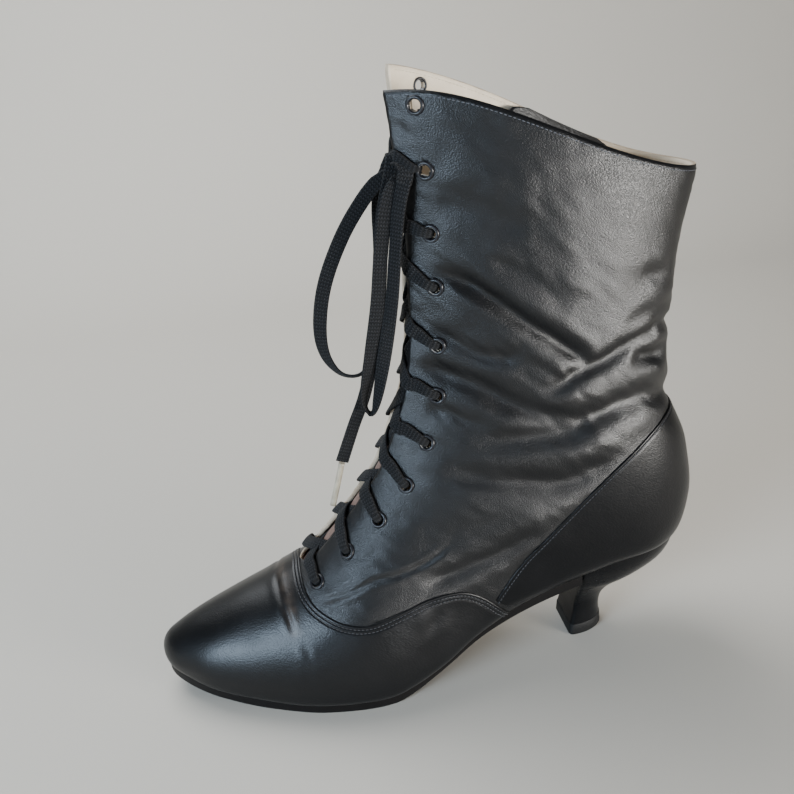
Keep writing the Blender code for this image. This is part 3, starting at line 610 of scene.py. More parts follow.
# Vamp seam in l and z seen from the side, from the front line down to the sole at the waist
VAMP_SEAM = (
    (183.8, 59.87), (183.8, 58.0), (182.4, 53.0), (177.8, 48.5), (167.8, 44.3), (157.0, 43.3), (143.6, 46.2),
    (130.0, 49.6), (116.4, 50.0), (105.4, 44.0), (94.0, 31.8), (90.0, 27.0),
)
SEAM_GRID = (4.0, 15.6, 2321)
FOOT_STEPS = 90
VAMP_STATIONS = 160
LINE_STEPS = 24
DISTANCE_PARTS = 24
BOTTOM_STEPS = 241
FOOT_ANGLES = (math.radians(92.0), math.radians(176.0), 120)
NEAR_SHARE = 0.55
AT_FOOT = 0.9999


def bottom_height(l):
    """Height of the last's bottom line under the foot."""
    line = bare_last(np.linspace(0.0, HEEL_SEAT, BOTTOM_STEPS), math.pi)
    return np.interp(l, line[::-1, 0], line[::-1, 2])


def foot_angle(section, above):
    """Angle at which a section's side comes to a height above the bottom line."""
    section = np.asarray(section, float)
    angle = np.linspace(*FOOT_ANGLES)
    side = bare_last(section[:, None], -angle[None])
    height = side[..., 2] - bottom_height(side[..., 0])
    return np.array([np.interp(-above, -row, angle) for row in height])


def side_distance(points, line):
    """Distance of each point from a line of points."""
    flat = points.reshape(-1, 3)
    parts = np.array_split(flat, DISTANCE_PARTS)
    parts = [np.linalg.norm(part[:, None] - line[None], axis=2).min(axis=1) for part in parts]
    return np.concatenate(parts).reshape(points.shape[:-1])


def sewn_face(distance, rows):
    """Lift of an overlay from its thinned edge inwards, with a groove under each stitch row."""
    lift = OVERLAY_LIFT - (OVERLAY_LIFT - OVERLAY_EDGE) * np.exp(-distance / OVERLAY_SKIVE)
    lift = lift - SKIVE_DROP * np.clip(1.0 - distance / EDGE_SOFT, 0.0, 1.0) ** 2
    for row in rows:
        lift = lift - STITCH_SINK * np.exp(-((distance - row) / STITCH_GROOVE) ** 2)
    return lift


def fine_line(stops):
    """Dense section and angle values along a route of stops in degrees."""
    route = fine_curve(stops, LINE_STEPS)
    return route[:, 0], np.radians(route[:, 1])


def both_sides(section, angle):
    """Points of a line of the last on the lateral and the medial side."""
    return np.vstack([bare_last(section, -angle), bare_last(section, angle)])


def set_point_values(item, name, values):
    """Stores a number for each point of an object's mesh."""
    attribute = item.data.attributes.new(name, "FLOAT", "POINT")
    attribute.data.foreach_set("value", np.asarray(values, np.float32))


def wear_along(item, route, width, strength):
    """Rubbed colour along a line of the last, on both sides, as a value for each point."""
    line = both_sides(*fine_line(route))
    points = np.array([v.co for v in item.data.vertices]) * (-1 / MM, 1 / MM, 1 / MM) + MIDDLE
    away = side_distance(points, line) / width
    patchy = WEAR_LEVEL + WEAR_SPREAD * np.array([noise.noise(Vector(point / WEAR_PATCH)) for point in points])
    set_point_values(item, "wear_and_light", np.clip(strength * np.exp(-away**2) * patchy, 0.0, 1.0))


def from_side(stops):
    """Section and turn along a smooth line on the last, from its stops in l and z seen from the side."""
    line = fine_curve(stops, LINE_STEPS)
    grid = np.linspace(*SEAM_GRID)
    s = sections_at(grid)
    front = np.stack([s["front_l"], s["front_z"]], axis=1)
    across = np.stack([s["back_l"], s["back_z"]], axis=1) - front
    found = []
    for point in line:
        offset = point - front
        share = (offset * across).sum(axis=1) / (across**2).sum(axis=1)
        away = across[:, 0] * offset[:, 1] - across[:, 1] * offset[:, 0]
        best = np.where(np.abs(share - 0.5) < NEAR_SHARE, np.abs(away), np.inf)[:-1].argmin()
        best = best if away[best] * away[best + 1] <= 0 else max(best - 1, 0)
        between = np.clip(away[best] / (away[best] - away[best + 1]), 0.0, 1.0)
        found.append([row[best] + between * (row[best + 1] - row[best]) for row in (grid, share)])
    section, along = np.array(found).T
    s = sections_at(section)
    ahead = along <= s["widest"]
    reach = np.where(ahead, 1 - along / s["widest"], (along - s["widest"]) / (1 - s["widest"]))
    bend = np.arccos(np.clip(reach, 0.0, 1.0) ** (np.where(ahead, s["front_power"], s["back_power"]) / 2))
    return section, turn_at(section, np.where(ahead, bend, math.pi - bend))


def to_foot(section):
    """Turns from the front line to the foot of each section, and their shares of the way."""
    foot = turn_at(section, foot_angle(section, VAMP_FOOT))
    turn = foot[:, None] * np.linspace(0.0, 1.0, FOOT_STEPS)[None]
    run = run_along(bare_last(section[:, None], -turned(section[:, None], turn)))
    return turn, run / run[:, -1:]


SEAM_SECTION, SEAM_TURN = from_side(VAMP_SEAM)
seam_rows = zip(SEAM_TURN, *to_foot(SEAM_SECTION))
SEAM_SHARE = np.array([np.interp(at, turn, share) for at, turn, share in seam_rows])
on_foot = int(np.argmax(SEAM_SHARE >= AT_FOOT)) + 1
SEAM_SECTION, SEAM_TURN, SEAM_SHARE = (row[:on_foot] for row in (SEAM_SECTION, SEAM_TURN, SEAM_SHARE))


def make_vamp():
    share = np.linspace(-1.0, 1.0, VAMP_COLUMNS)
    top = np.interp(np.abs(share), SEAM_SHARE, SEAM_SECTION)
    along = two_rates(0.0, VAMP_DENSE, 1.0, VAMP_ROWS)
    section = along[:, None] * top[None]
    stations = np.linspace(0.0, SEAM_SECTION.max(), VAMP_STATIONS)
    table = np.array([np.interp(np.abs(share), way, turn) for turn, way in zip(*to_foot(stations))])
    turn = np.stack([np.interp(section[:, i], stations, table[:, i]) for i in range(VAMP_COLUMNS)], axis=1)
    angle = turned(section, np.sign(share) * turn)
    seam = both_sides(SEAM_SECTION, turned(SEAM_SECTION, SEAM_TURN))
    bare = bare_last(section, angle)
    lift = sewn_face(side_distance(bare, seam), STITCH_ROWS)
    above_sole = bare[..., 2] - bottom_height(bare[..., 0])
    tuck, reach = VAMP_TUCK
    lift = lift - tuck * np.exp(-np.maximum(above_sole - VAMP_FOOT, 0.0) / reach)
    vamp = sheet("vamp_leather", dressed(section, angle, lift, OVERLAY_WRINKLED))
    wear_along(vamp, FLEX_WEAR, FLEX_WIDTH, FLEX_STRENGTH)
    return give_wall(vamp, OVERLAY_THICKNESS, (vamp_calf,) * 3)


vamp_calf = calf_material("vamp_calf", 0.6, 0.6, 0.18, (0.30, 0.38), specular=0.30)
dress(make_vamp(), "black_leather", "vamp")


# Counter: black calf stiffened round the heel, its upper edge sewn to the quarters with one row
# of stitches and its front edge butted to the vamp. It rests on the heel seat.
COUNTER_COLUMNS = 241
COUNTER_ROWS = (26, 44)
COUNTER_FOOT = 2.4
COUNTER_DENSE = 0.12
COUNTER_WAIST = 11.2
COUNTER_SEAT = (0.75, 3.0)

# Counter seam in l and z seen from the side, and its lower edge as section and angle
COUNTER_SEAM = (
    (100.4, 41.2), (93.7, 50.9), (84.3, 62.2), (66.2, 79.3), (48.2, 95.6), (34.0, 106.4), (22.9, 113.5),
    (16.6, 116.0), (12.2, 116.9),
)
COUNTER_BASE = ((9.56, 122), (9.9, 128), (10.5, 134), (11.2, 141), (11.75, 150), (12.1, 163), (12.2, 180))


def make_counter():
    seam_section, seam_turn = from_side(COUNTER_SEAM)
    base_section, base_angle = fine_line(COUNTER_BASE)
    foot = foot_angle(base_section, COUNTER_FOOT)
    base_angle = np.where(base_section < COUNTER_WAIST, np.minimum(base_angle, foot), base_angle)
    half = np.linspace(0.0, 1.0, COUNTER_COLUMNS // 2 + 1)

    def spread(section, turn):
        run = run_along(bare_last(section, -turned(section, turn)))
        return np.interp(half * run[-1], run, section), np.interp(half * run[-1], run, turn)

    top_section, top_turn = spread(seam_section, seam_turn)
    low_section, low_turn = spread(base_section, turn_at(base_section, base_angle))
    down = two_rates(0.0, COUNTER_DENSE, 1.0, COUNTER_ROWS)
    section = top_section + down[:, None] * (low_section - top_section)
    turn = top_turn + down[:, None] * (low_turn - top_turn)
    section = np.hstack([section, section[:, -2::-1]])
    angle = turned(section, np.hstack([-turn, turn[:, -2::-1]]))
    seam = both_sides(seam_section, turned(seam_section, seam_turn))
    bare = bare_last(section, angle)
    lift = sewn_face(side_distance(bare, seam), STITCH_ROWS[:1])
    drop, reach = COUNTER_SEAT
    lift = lift - drop * np.exp(-((side_distance(bare, bare[-1]) / reach) ** 2))
    counter = sheet("counter_leather", dressed(section, angle, lift, OVERLAY_WRINKLED))
    return give_wall(counter, OVERLAY_THICKNESS, (counter_calf,) * 3)


counter_calf = calf_material("counter_calf", 0.6, 0.6, 0.18, (0.28, 0.36), specular=0.21)
dress(make_counter(), "black_leather", "counter")


# Seams: rows of waxed thread, lock stitched: black along the vamp and counter seams, grey at the
# collar and pale on the lining behind it. Each stitch is a short grain half sunk in the leather.
STITCH_PITCH = 1.75
STITCH_LENGTH = 1.35
STITCH_WIDTH = 0.42
COLLAR_ROW = 2.0
COLLAR_SPAN = (math.radians(24.0), math.radians(336.0), 300)
COLLAR_PROUD = 0.02
STITCH_PROUD = 0.08
VAMP_ROW_END = 6


def upright(tree):
    """Turn that stands a piece up from the face it is set on."""
    normal = add(tree, "GeometryNodeInputNamedAttribute", {"data_type": "FLOAT_VECTOR"}, Name="outward")
    return add(tree, "FunctionNodeAlignRotationToVector", {"axis": "Z"}, Vector=normal)


def set_out(tree, end, coat, **pieces):
    """Ends a node tree: pieces set on points, made real, smooth and in their material."""
    laid = add(tree, "GeometryNodeInstanceOnPoints", **pieces)
    real = add(tree, "GeometryNodeRealizeInstances", Geometry=laid)
    smoothed = add(tree, "GeometryNodeSetShadeSmooth", Geometry=real)
    feed(tree, end, _0=add(tree, "GeometryNodeSetMaterial", Geometry=smoothed, Material=coat))
    return tree


def stitch_tree():
    """Node tree that lays stitches along lines, each turned with its line and face."""
    sizes = [(label, "Float") for label in ("Pitch", "Length", "Width")]
    inputs = (("Lines", "Geometry"), *sizes, ("Thread", "Material"))
    tree, start, end = new_tree("GeometryNodeTree", "stitch_row", inputs, (("Stitches", "Geometry"),))
    curve = add(tree, "GeometryNodeMeshToCurve", Mesh=start["Lines"])
    points = add(tree, "GeometryNodeResampleCurve", {"mode": "LENGTH"}, Curve=curve, Length=start["Pitch"])
    tangent = add(tree, "GeometryNodeInputTangent")
    along = add(tree, "FunctionNodeAlignRotationToVector", {"axis": "X", "pivot_axis": "Z"},
                Rotation=upright(tree), Vector=tangent)
    grain = add(tree, "GeometryNodeMeshUVSphere", Segments=8, Rings=5, Radius=0.5)
    size = add(tree, "ShaderNodeCombineXYZ", X=start["Length"], Y=start["Width"], Z=start["Width"])
    return set_out(tree, end, start["Thread"], Points=points, Instance=grain, Rotation=along, Scale=size)


def guide(name, lines, normals):
    """Object of loose lines of points, with the outward direction of each point."""
    verts = np.vstack([to_frame(line) for line in lines])
    edges, first = [], 0
    for line in lines:
        edges += [(first + i, first + i + 1) for i in range(len(line) - 1)]
        first += len(line)
    mesh = bpy.data.meshes.new(name)
    mesh.from_pydata(verts, edges, [])
    facing = np.vstack(normals) * (-1.0, 1.0, 1.0)
    mesh.attributes.new("outward", "FLOAT_VECTOR", "POINT").data.foreach_set("vector", facing.ravel())
    return new_object(name, mesh)


def grow(item, tree, values):
    """Runs a node tree with named inputs on an object and keeps the result as its mesh."""
    nodes = item.modifiers.new(tree.name, "NODES")
    nodes.node_group = tree
    for socket in tree.interface.items_tree:
        if socket.in_out == "INPUT" and socket.name in values:
            nodes[socket.identifier] = values[socket.name]
    return settle(item)


def beside(section, turn, distance, step=0.004):
    """Section and angle of a line of the last moved sideways on its surface, to the left of its run."""
    def place(at, round_it):
        return bare_last(at, turned(at, round_it))

    ahead = (place(section + step, turn) - place(section - step, turn)) / (2 * step)
    around = (place(section, turn + step) - place(section, turn - step)) / (2 * step)
    side = np.cross(np.cross(around, ahead), np.gradient(place(section, turn), axis=0))
    side = distance * unit(side)
    aa, ab, bb = (ahead * ahead).sum(-1), (ahead * around).sum(-1), (around * around).sum(-1)
    pa, pb = (ahead * side).sum(-1), (around * side).sum(-1)
    scale = aa * bb - ab * ab
    section = section + (pa * bb - pb * ab) / scale
    return section, turned(section, turn + (pb * aa - pa * ab) / scale)


def sew(name, rows, thread):
    """Stitches along rows of section, angle and lift."""
    lines = [dressed(section, angle, lift, OVERLAY_WRINKLED) for section, angle, lift in rows]
    normals = [outward(section, angle) for section, angle, lift in rows]
    values = {"Pitch": STITCH_PITCH * MM, "Length": STITCH_LENGTH * MM, "Width": STITCH_WIDTH * MM}
    stitches = grow(guide(name, lines, normals), STITCHES, {**values, "Thread": thread})
    return dress(stitches, "black_leather")


def both_hands(section, turn):
    """A lateral line joined to its mirrored medial line through the front."""
    return np.concatenate([section[::-1], section[1:]]), np.concatenate([-turn[::-1], turn[1:]])


STITCHES = stitch_tree()
black_thread = plain_grain_material("black_thread", (0.012, 0.012, 0.014), (0.05, 0.05, 0.055), 0.8, 0.62, 0.3)
grey_thread = plain_grain_material("grey_thread", (0.03, 0.033, 0.04), (0.10, 0.105, 0.12), 0.8, 0.6, 0.3)
pale_thread = plain_grain_material("pale_thread", (0.42, 0.34, 0.25), (0.66, 0.57, 0.45), 0.8, 0.8, 0.3)
on_overlay = [sewn_face(row, ()) - STITCH_SINK + STITCH_PROUD for row in STITCH_ROWS]
vamp_line = both_hands(SEAM_SECTION[:-VAMP_ROW_END], SEAM_TURN[:-VAMP_ROW_END])
vamp_rows = [(*beside(*vamp_line, -row), lift) for row, lift in zip(STITCH_ROWS, on_overlay)]
sew("vamp_stitches", vamp_rows, black_thread)
counter_section, counter_turn = (row[:-1] for row in from_side(COUNTER_SEAM))
counter_rows = [(*beside(counter_section, hand * counter_turn, -hand * STITCH_ROWS[0]), on_overlay[0])
                for hand in (-1.0, 1.0)]
sew("counter_stitches", counter_rows, black_thread)
collar_angle = np.linspace(*COLLAR_SPAN)
collar_rise = np.linalg.norm(slopes(np.full_like(collar_angle, COLLAR), collar_angle)[0], axis=-1)
collar_section = COLLAR - COLLAR_ROW / collar_rise
sew("collar_stitches", [(collar_section, collar_angle, COLLAR_PROUD)], grey_thread)
sew("lining_stitches", [(collar_section, collar_angle, -WALL - COLLAR_PROUD)], pale_thread)


# Outsole: thin black leather sole with a rounded edge, cemented under the lasted upper from the
# toe to the breast of the heel.
SOLE_THICKNESS = 3.05
SOLE_EDGE = 3.2
SOLE_ROUND = 0.9
SOLE_STATIONS = 150
CLEARANCE = 0.3
SOLE_CORNER_STEPS = 5
LAST_SPAN = (0.02, 2.0, 15.0)
LAST_ROWS = (16, 70)
LAST_STEPS = 96
SHARP_ANGLE = math.radians(38.0)

# Sole outline from the toe back: l, lateral edge, medial edge
SOLE = (
    (251.0, 3.0, 7.0), (250.4, 0.0, 9.4), (249.2, -3.2, 11.5), (246.0, -7.0, 13.6), (240.0, -12.0, 16.6),
    (230.0, -18.2, 20.2), (215.0, -25.0, 24.8), (200.0, -30.6, 28.8), (185.0, -35.4, 32.0),
    (170.0, -37.9, 33.6), (158.0, -38.5, 33.0), (148.0, -37.2, 31.0), (138.0, -34.2, 28.0),
    (125.0, -29.6, 24.6), (110.0, -25.6, 22.0), (95.0, -23.6, 21.4), (80.0, -22.6, 21.2), (57.7, -21.2, 20.4),
)


def loft(name, rings, material):
    """Closed solid through rings of equal count, with flat ends."""
    rings = np.asarray(rings)
    count = rings.shape[1]
    bm = bmesh.new()
    loops = [[bm.verts.new(point) for point in to_frame(ring)] for ring in rings]
    for low, high in zip(loops[:-1], loops[1:]):
        for i in range(count):
            j = (i + 1) % count
            bm.faces.new((low[i], high[i], high[j], low[j])).smooth = True
    bm.faces.new(loops[0])
    bm.faces.new(loops[-1])
    bmesh.ops.recalc_face_normals(bm, faces=bm.faces)
    mesh = bpy.data.meshes.new(name)
    bm.to_mesh(mesh)
    bm.free()
    mesh.materials.append(material)
    return new_object(name, mesh)


def last_solid():
    """The last with clearance as a closed body, to shape what is fixed under it."""
    section = two_rates(*LAST_SPAN, LAST_ROWS)
    angle = np.linspace(-math.pi, math.pi, LAST_STEPS, endpoint=False)
    section, angle = np.meshgrid(section, angle, indexing="ij")
    return loft("last", bare_last(section, angle) + CLEARANCE * outward(section, angle), black_calf)


def cut_by(item, cutter):
    """Cuts a piece to another's shape and shades it smooth between sharp edges."""
    cut = item.modifiers.new("Cut", "BOOLEAN")
    cut.object = cutter
    cut.solver = "EXACT"
    settle(item)
    for polygon in item.data.polygons:
        polygon.use_smooth = True
    item.data.set_sharp_from_angle(angle=SHARP_ANGLE)
    return item


def make_outsole():
    rings = []
    corner = np.linspace(0.0, math.pi / 2, SOLE_CORNER_STEPS)
    inward, upward = SOLE_ROUND * (1 - np.cos(corner)), SOLE_ROUND * (1 - np.sin(corner))
    for l, lateral, medial in smooth_line(SOLE, SOLE_STATIONS):
        top = bottom_height(l) + SOLE_EDGE
        low = upward + max(0.0, bottom_height(l) - SOLE_THICKNESS)
        y = (lateral, *(lateral + inward), *(medial - inward)[::-1], medial)
        rings.append([(l, *point) for point in zip(y, (top, *low, *low[::-1], top))])
    return cut_by(loft("sole_leather", rings, edge_black), last)


edge_black = plain_grain_material(
    "edge_black", (0.002, 0.002, 0.002), (0.006, 0.005, 0.005), 5.0, 0.45, 0.35, 0.16)
last = last_solid()
dress(make_outsole(), "sole_leather", "outsole")


# Heel: wooden core under tight black calf, curved in at the back with a flat breast, glued and
# nailed under the seat. The breast is matt sole leather. A thin rubber top piece is nailed on below.
TOP_PIECE_HEIGHT = 5.8
HEEL_BREAST = 57.4
HEEL_CORNER = 2.0
HEEL_LEVELS = 90
HEEL_STEPS = (6, 42)
BREAST_FACING = -0.9

# Levels of the heel and its top piece: height, back, breast, half width
HEEL = (
    (6.05, 42.6, 60.0, 11.2), (12.0, 42.8, 58.6, 10.8), (18.0, 41.3, 57.8, 11.0),
    (23.0, 37.2, HEEL_BREAST, 12.6), (27.0, 30.4, HEEL_BREAST, 14.8), (31.0, 20.4, HEEL_BREAST, 17.6),
    (36.0, 12.0, HEEL_BREAST, 19.6), (41.0, 8.2, HEEL_BREAST, 21.2), (46.0, 6.4, HEEL_BREAST, 21.8),
    (50.0, 6.2, HEEL_BREAST, 21.0), (54.5, 7.4, HEEL_BREAST, 19.0),
)
TOP_PIECE = (
    (0.0, 42.5, 60.4, 11.2), (0.5, 42.0, 60.7, 11.55), (TOP_PIECE_HEIGHT - 0.4, 42.2, 60.3, 11.45),
    (TOP_PIECE_HEIGHT, 42.6, 60.0, 11.2),
)


def heel_ring(z, back_l, front_l, half_width):
    """Level of the heel: flat breast with rounded corners and a round back."""
    inner = half_width - HEEL_CORNER
    corner = np.linspace(math.pi / 2, 0.0, HEEL_STEPS[0])
    back = np.linspace(-math.pi / 2, math.pi / 2, HEEL_STEPS[1])[1:-1]
    rounded, aside = front_l - HEEL_CORNER * (1 - np.cos(corner)), inner + HEEL_CORNER * np.sin(corner)
    l = (*rounded, *rounded[::-1], *(back_l + (front_l - HEEL_CORNER - back_l) * (1 - np.cos(back))))
    y = (*aside, *-aside[::-1], *(half_width * np.sin(back)))
    return [(*point, z) for point in zip(l, y)]


heel_calf = calf_material("heel_calf", 0.7, 0.4, 0.14, (0.24, 0.34), specular=0.18)
heel_rubber = plain_grain_material(
    "heel_rubber_grain", (0.003, 0.003, 0.003), (0.008, 0.008, 0.008), 6.0, 0.62, 0.3, 0.2)
heel_levels = smooth_line(HEEL, HEEL_LEVELS)
heel_cover = cut_by(loft("heel_cover", [heel_ring(*row) for row in heel_levels], heel_calf), last)
heel_cover.data.materials.append(edge_black)
for polygon in heel_cover.data.polygons:
    if polygon.normal.x < BREAST_FACING:
        polygon.material_index = 1
dress(heel_cover, "black_leather", "heel")
top_piece = loft("top_piece", [heel_ring(*row) for row in TOP_PIECE], heel_rubber)
top_piece.data.set_sharp_from_angle(angle=SHARP_ANGLE)
dress(top_piece, "heel_rubber", "heel_top_piece")
bpy.data.objects.remove(last)


# Insole: natural leather board cut to the bottom of the last, lying on the lasting margin of the
# upper. It is seen only from above, so its plain solid stays and takes the look of the lining.
for node in [o for o in bpy.data.objects if o.name.startswith("insole")]:
    node.data.materials.clear()
    node.data.materials.append(natural_lining)


# Tongue: one piece of soft calf sewn in under the base of the throat. It lies behind the laces, and its upper
# end has fallen over to the medial wall. Its face in the throat is brown towards the bottom, partly rubbed wear
# and partly painted light.
TONGUE_THICKNESS = 1.5
TONGUE_GRID = (130, 33)
TONGUE_CURVE = 1.5
TONGUE_WIDEST = 20.0
TONGUE_MEDIAL_ANGLE = math.radians(95.0)
TONGUE_MEDIAL_SPREAD = math.radians(24.0)
TONGUE_MEDIAL_INSET = 5.4

# Its brown, partly rubbed wear and partly painted light: strength, the height under which it shows, and the way
# down to its full strength
TONGUE_WEAR_AND_LIGHT = (0.85, 205.0, 50.0)
TONGUE_WORN_AND_LIT = (0.150, 0.092, 0.072)

# Section, depth behind the front line, half width, curl of the edges, share of the lean
TONGUE = (
    (5.3, 3.2, 11.0, 3.2, 0.00), (5.7, 3.3, 11.0, 3.6, 0.00), (6.3, 3.5, 12.0, 5.2, 0.00),
    (7.0, 3.8, 12.0, 6.6, 0.00), (8.5, 4.6, 12.0, 8.4, 0.00), (10.0, 6.2, 11.0, 10.0, 0.00),
    (11.5, 7.4, 10.5, 11.5, 0.00), (13.0, 8.5, 10.5, 13.0, 0.02), (14.5, 10.0, 13.0, 14.0, 0.10),
    (16.0, 12.0, 16.0, 15.0, 0.28), (17.0, 14.0, 18.0, 16.0, 0.50), (18.0, 16.0, 20.0, 18.0, 0.75),
    (18.6, 18.0, 20.5, 18.0, 0.95), (18.88, 18.0, 20.0, 12.0, 1.00), (19.0, 18.0, 14.0, 4.0, 1.00),
)


def make_tongue():
    rows, columns = TONGUE_GRID
    section, depth, half, curl, lean = smooth_line(TONGUE, rows).T[..., None]
    across = np.linspace(-1.0, 1.0, columns)[None]
    s = sections_at(section)
    front = np.stack([s["front_l"], 0 * section, s["front_z"]], axis=-1)
    back = np.stack([s["back_l"], 0 * section, s["back_z"]], axis=-1)
    behind = front + unit(back - front) * (depth + curl * np.abs(across) ** TONGUE_CURVE)[..., None]
    behind[..., 1] += half * across
    angle = TONGUE_MEDIAL_ANGLE + TONGUE_MEDIAL_SPREAD * across * half / TONGUE_WIDEST
    wide = np.broadcast_to(section, angle.shape)
    beside_wall = bare_last(wide, angle) - TONGUE_MEDIAL_INSET * outward(wide, angle)
    points = behind + lean[..., None] * (beside_wall - behind)
    tongue = sheet("tongue_leather", points)
    # Browner towards the bottom: partly rubbed wear, partly painted light on the strongly lit lower face
    heights = np.array([v.co.z for v in tongue.data.vertices]) / MM
    strength, below, reach = TONGUE_WEAR_AND_LIGHT
    set_point_values(tongue, "wear_and_light", strength * np.clip((below - heights) / reach, 0.0, 1.0))
    return give_wall(tongue, TONGUE_THICKNESS, (tongue_calf,) * 3, offset=0.0)


tongue_calf = calf_material("tongue_calf", 0.9, 1.2, 0.5, (0.42, 0.55), worn_and_lit_colour=TONGUE_WORN_AND_LIT)
dress(make_tongue(), "black_leather", "tongue")


# Eyelets: turned brass rings with black enamel, set through both throat edges and closed with a
# washer behind. The enamel is rubbed off parts of the inner lip.
EYELET_RING = 2.92
EYELET_SECTION = 0.72
EYELET_BACK = 2.75
EYELET_BACK_SECTION = 0.5
EYELET_PLACE = 0.35
EYELET_DEPTH = 2.2
EYELET_STEPS = (40, 28, 12)
ENAMEL_LIP = 0.62
ENAMEL_BLACK = (0.010, 0.010, 0.012)
BARE_METAL = (0.62, 0.60, 0.57)
EYELET_NAMES = [f"eyelet_{side}_{number:02d}" for side in ("lateral", "medial") for number in range(1, 12)]


def eyelet_tree():
    """Node tree that sets a ring, a barrel and a back washer at each point."""
    sizes = [(label, "Float") for label in ("Ring", "Section", "Back Ring", "Back Section", "Depth")]
    inputs = (("Places", "Geometry"), *sizes, ("Enamel", "Material"))
    tree, start, end = new_tree("GeometryNodeTree", "eyelet_set", inputs, (("Eyelets", "Geometry"),))
    ring_steps, back_steps, section_steps = EYELET_STEPS

    def swept(path, radius, steps):
        profile = add(tree, "GeometryNodeCurvePrimitiveCircle", Resolution=steps, Radius=radius)
        return add(tree, "GeometryNodeCurveToMesh", Curve=path, Profile_Curve=profile)

    def ring(radius, section, steps):
        path = add(tree, "GeometryNodeCurvePrimitiveCircle", Resolution=steps, Radius=radius)
        return swept(path, section, section_steps)

    front = ring(start["Ring"], start["Section"], ring_steps)
    parts = add(tree, "ShaderNodeSeparateXYZ", Vector=add(tree, "GeometryNodeInputPosition")).node.outputs
    flat = add(tree, "ShaderNodeCombineXYZ", X=parts["X"], Y=parts["Y"], Z=0.0)
    radius = add(tree, "ShaderNodeVectorMath", {"operation": "LENGTH"}, "Value", _0=flat)
    outer = maths(tree, "DIVIDE", maths(tree, "SUBTRACT", radius, start["Ring"]), start["Section"])
    front = add(tree, "GeometryNodeStoreNamedAttribute", {"data_type": "FLOAT", "domain": "POINT"},
                Geometry=front, Name="rim", Value=outer)
    low = add(tree, "ShaderNodeCombineXYZ", X=0.0, Y=0.0, Z=maths(tree, "MULTIPLY", start["Depth"], -1.0))
    back = ring(start["Back Ring"], start["Back Section"], back_steps)
    back = add(tree, "GeometryNodeTransform", Geometry=back, Translation=low)
    line = add(tree, "GeometryNodeCurvePrimitiveLine", Start=(0.0, 0.0, 0.0), End=low)
    barrel = swept(line, maths(tree, "SUBTRACT", start["Ring"], start["Section"]), back_steps)
    joined = add(tree, "GeometryNodeJoinGeometry")
    for part in (front, back, barrel):
        feed(tree, joined.node, _0=part)
    return set_out(tree, end, start["Enamel"], Points=start["Places"], Instance=joined, Rotation=upright(tree))


def enamel_material():
    """Black enamel, worn to bright metal in places along the inner lip."""
    material, tree, shader = new_material("eyelet_enamel_worn")
    place = add(tree, "ShaderNodeTexCoord", out="Object")
    rim = add(tree, "ShaderNodeAttribute", {"attribute_name": "rim"}, "Fac")
    patch = add(tree, "ShaderNodeTexNoise", out="Fac", Vector=place, Scale=260.0, Detail=2.0)
    from_lip = maths(tree, "ABSOLUTE", maths(tree, "ADD", rim, ENAMEL_LIP))
    lip = add(tree, "ShaderNodeMapRange", Value=from_lip, From_Min=0.08, From_Max=0.24, To_Min=1.0, To_Max=0.0)
    rubbed = add(tree, "ShaderNodeMapRange", Value=patch, From_Min=0.53, From_Max=0.66)
    mask = maths(tree, "MULTIPLY", lip, rubbed)
    feed(tree, shader, Base_Color=colour_mix(tree, mask, ENAMEL_BLACK, BARE_METAL), Metallic=mask,
         Roughness=0.28, Specular_IOR_Level=0.3)
    return material


def make_eyelets():
    places = [spot(at, hand * side, EYELET_PLACE) for at, side in EYELETS for hand in (-1.0, 1.0)]
    points, normals = (np.array(values) for values in zip(*places))
    return grow(guide("eyelet_rings", [points], [normals]), eyelet_tree(), {
        "Ring": EYELET_RING * MM, "Section": EYELET_SECTION * MM, "Back Ring": EYELET_BACK * MM,
        "Back Section": EYELET_BACK_SECTION * MM, "Depth": EYELET_DEPTH * MM, "Enamel": enamel_material(),
    })


dress(make_eyelets(), "eyelet_enamel", *EYELET_NAMES)


# Lacing: flat black cotton braid in two halves. Each starts inside its lowest eyelet, comes out, goes
# up over the throat edge, across the gap and behind the other edge to the next eyelet, up to the knot.
LACE_WIDTH = 6.2
LACE_THICKNESS = 1.3
LACE_CLEAR = 1.25
BRAID_STEPS = 16
BRAID_ROUND = (0.6, 0.7)
BRAID_SPACING = 0.9
BRAID_COLUMNS = 5.0
BRAID_PITCH = 1.5
BRAID_SLANT = 0.6
BRAID_RELIEF = 0.35
# Braid colours: its black, which also serves as the painted shade between the yarns, and the painted highlight
# on the yarn crests
BRAID_DARK = (0.0008, 0.0008, 0.0010)
BRAID_CREST_HIGHLIGHT = (0.026, 0.027, 0.030)
CURVE_STEPS = 40

# Stops of the lace: way in towards the throat, lift over the leather, how far its face turns to the
# leather's normal and to the way in, width and thickness
INSIDE = (1.2, -WALL - 2.2, -1.0, -1.0, 4.6, 2.0)
IN_BORE = (0.0, -0.6, 0.0, -1.0, 3.7, 2.6)
COMING_OUT = (1.4, 1.8, 1.0, -0.5, 4.2, 2.2)
OVER_LEATHER = (0.5, LACE_CLEAR + 0.3, 1.0, 0.0, 5.6, 1.6)
OVER_EDGE = (-0.4, LACE_CLEAR, 1.0, 0.0, LACE_WIDTH, LACE_THICKNESS)
UNDER_EDGE = (-0.4, -WALL - 1.3, 1.0, 0.0, LACE_WIDTH, LACE_THICKNESS)
BEHIND = (-3.4, -WALL - 2.3, 1.0, 0.0, 5.4, 1.6)
TOP_BORE = (1.1, -0.6, 0.0, -1.0, 2.6, 1.8)
TOP_OUT = (2.6, 1.5, 1.0, -0.5, 3.6, 1.8)
TOP_EDGE = (-1.0, LACE_CLEAR, 1.0, 0.0, 4.8, LACE_THICKNESS)
AT_KNOT = (4.6, 1.6)

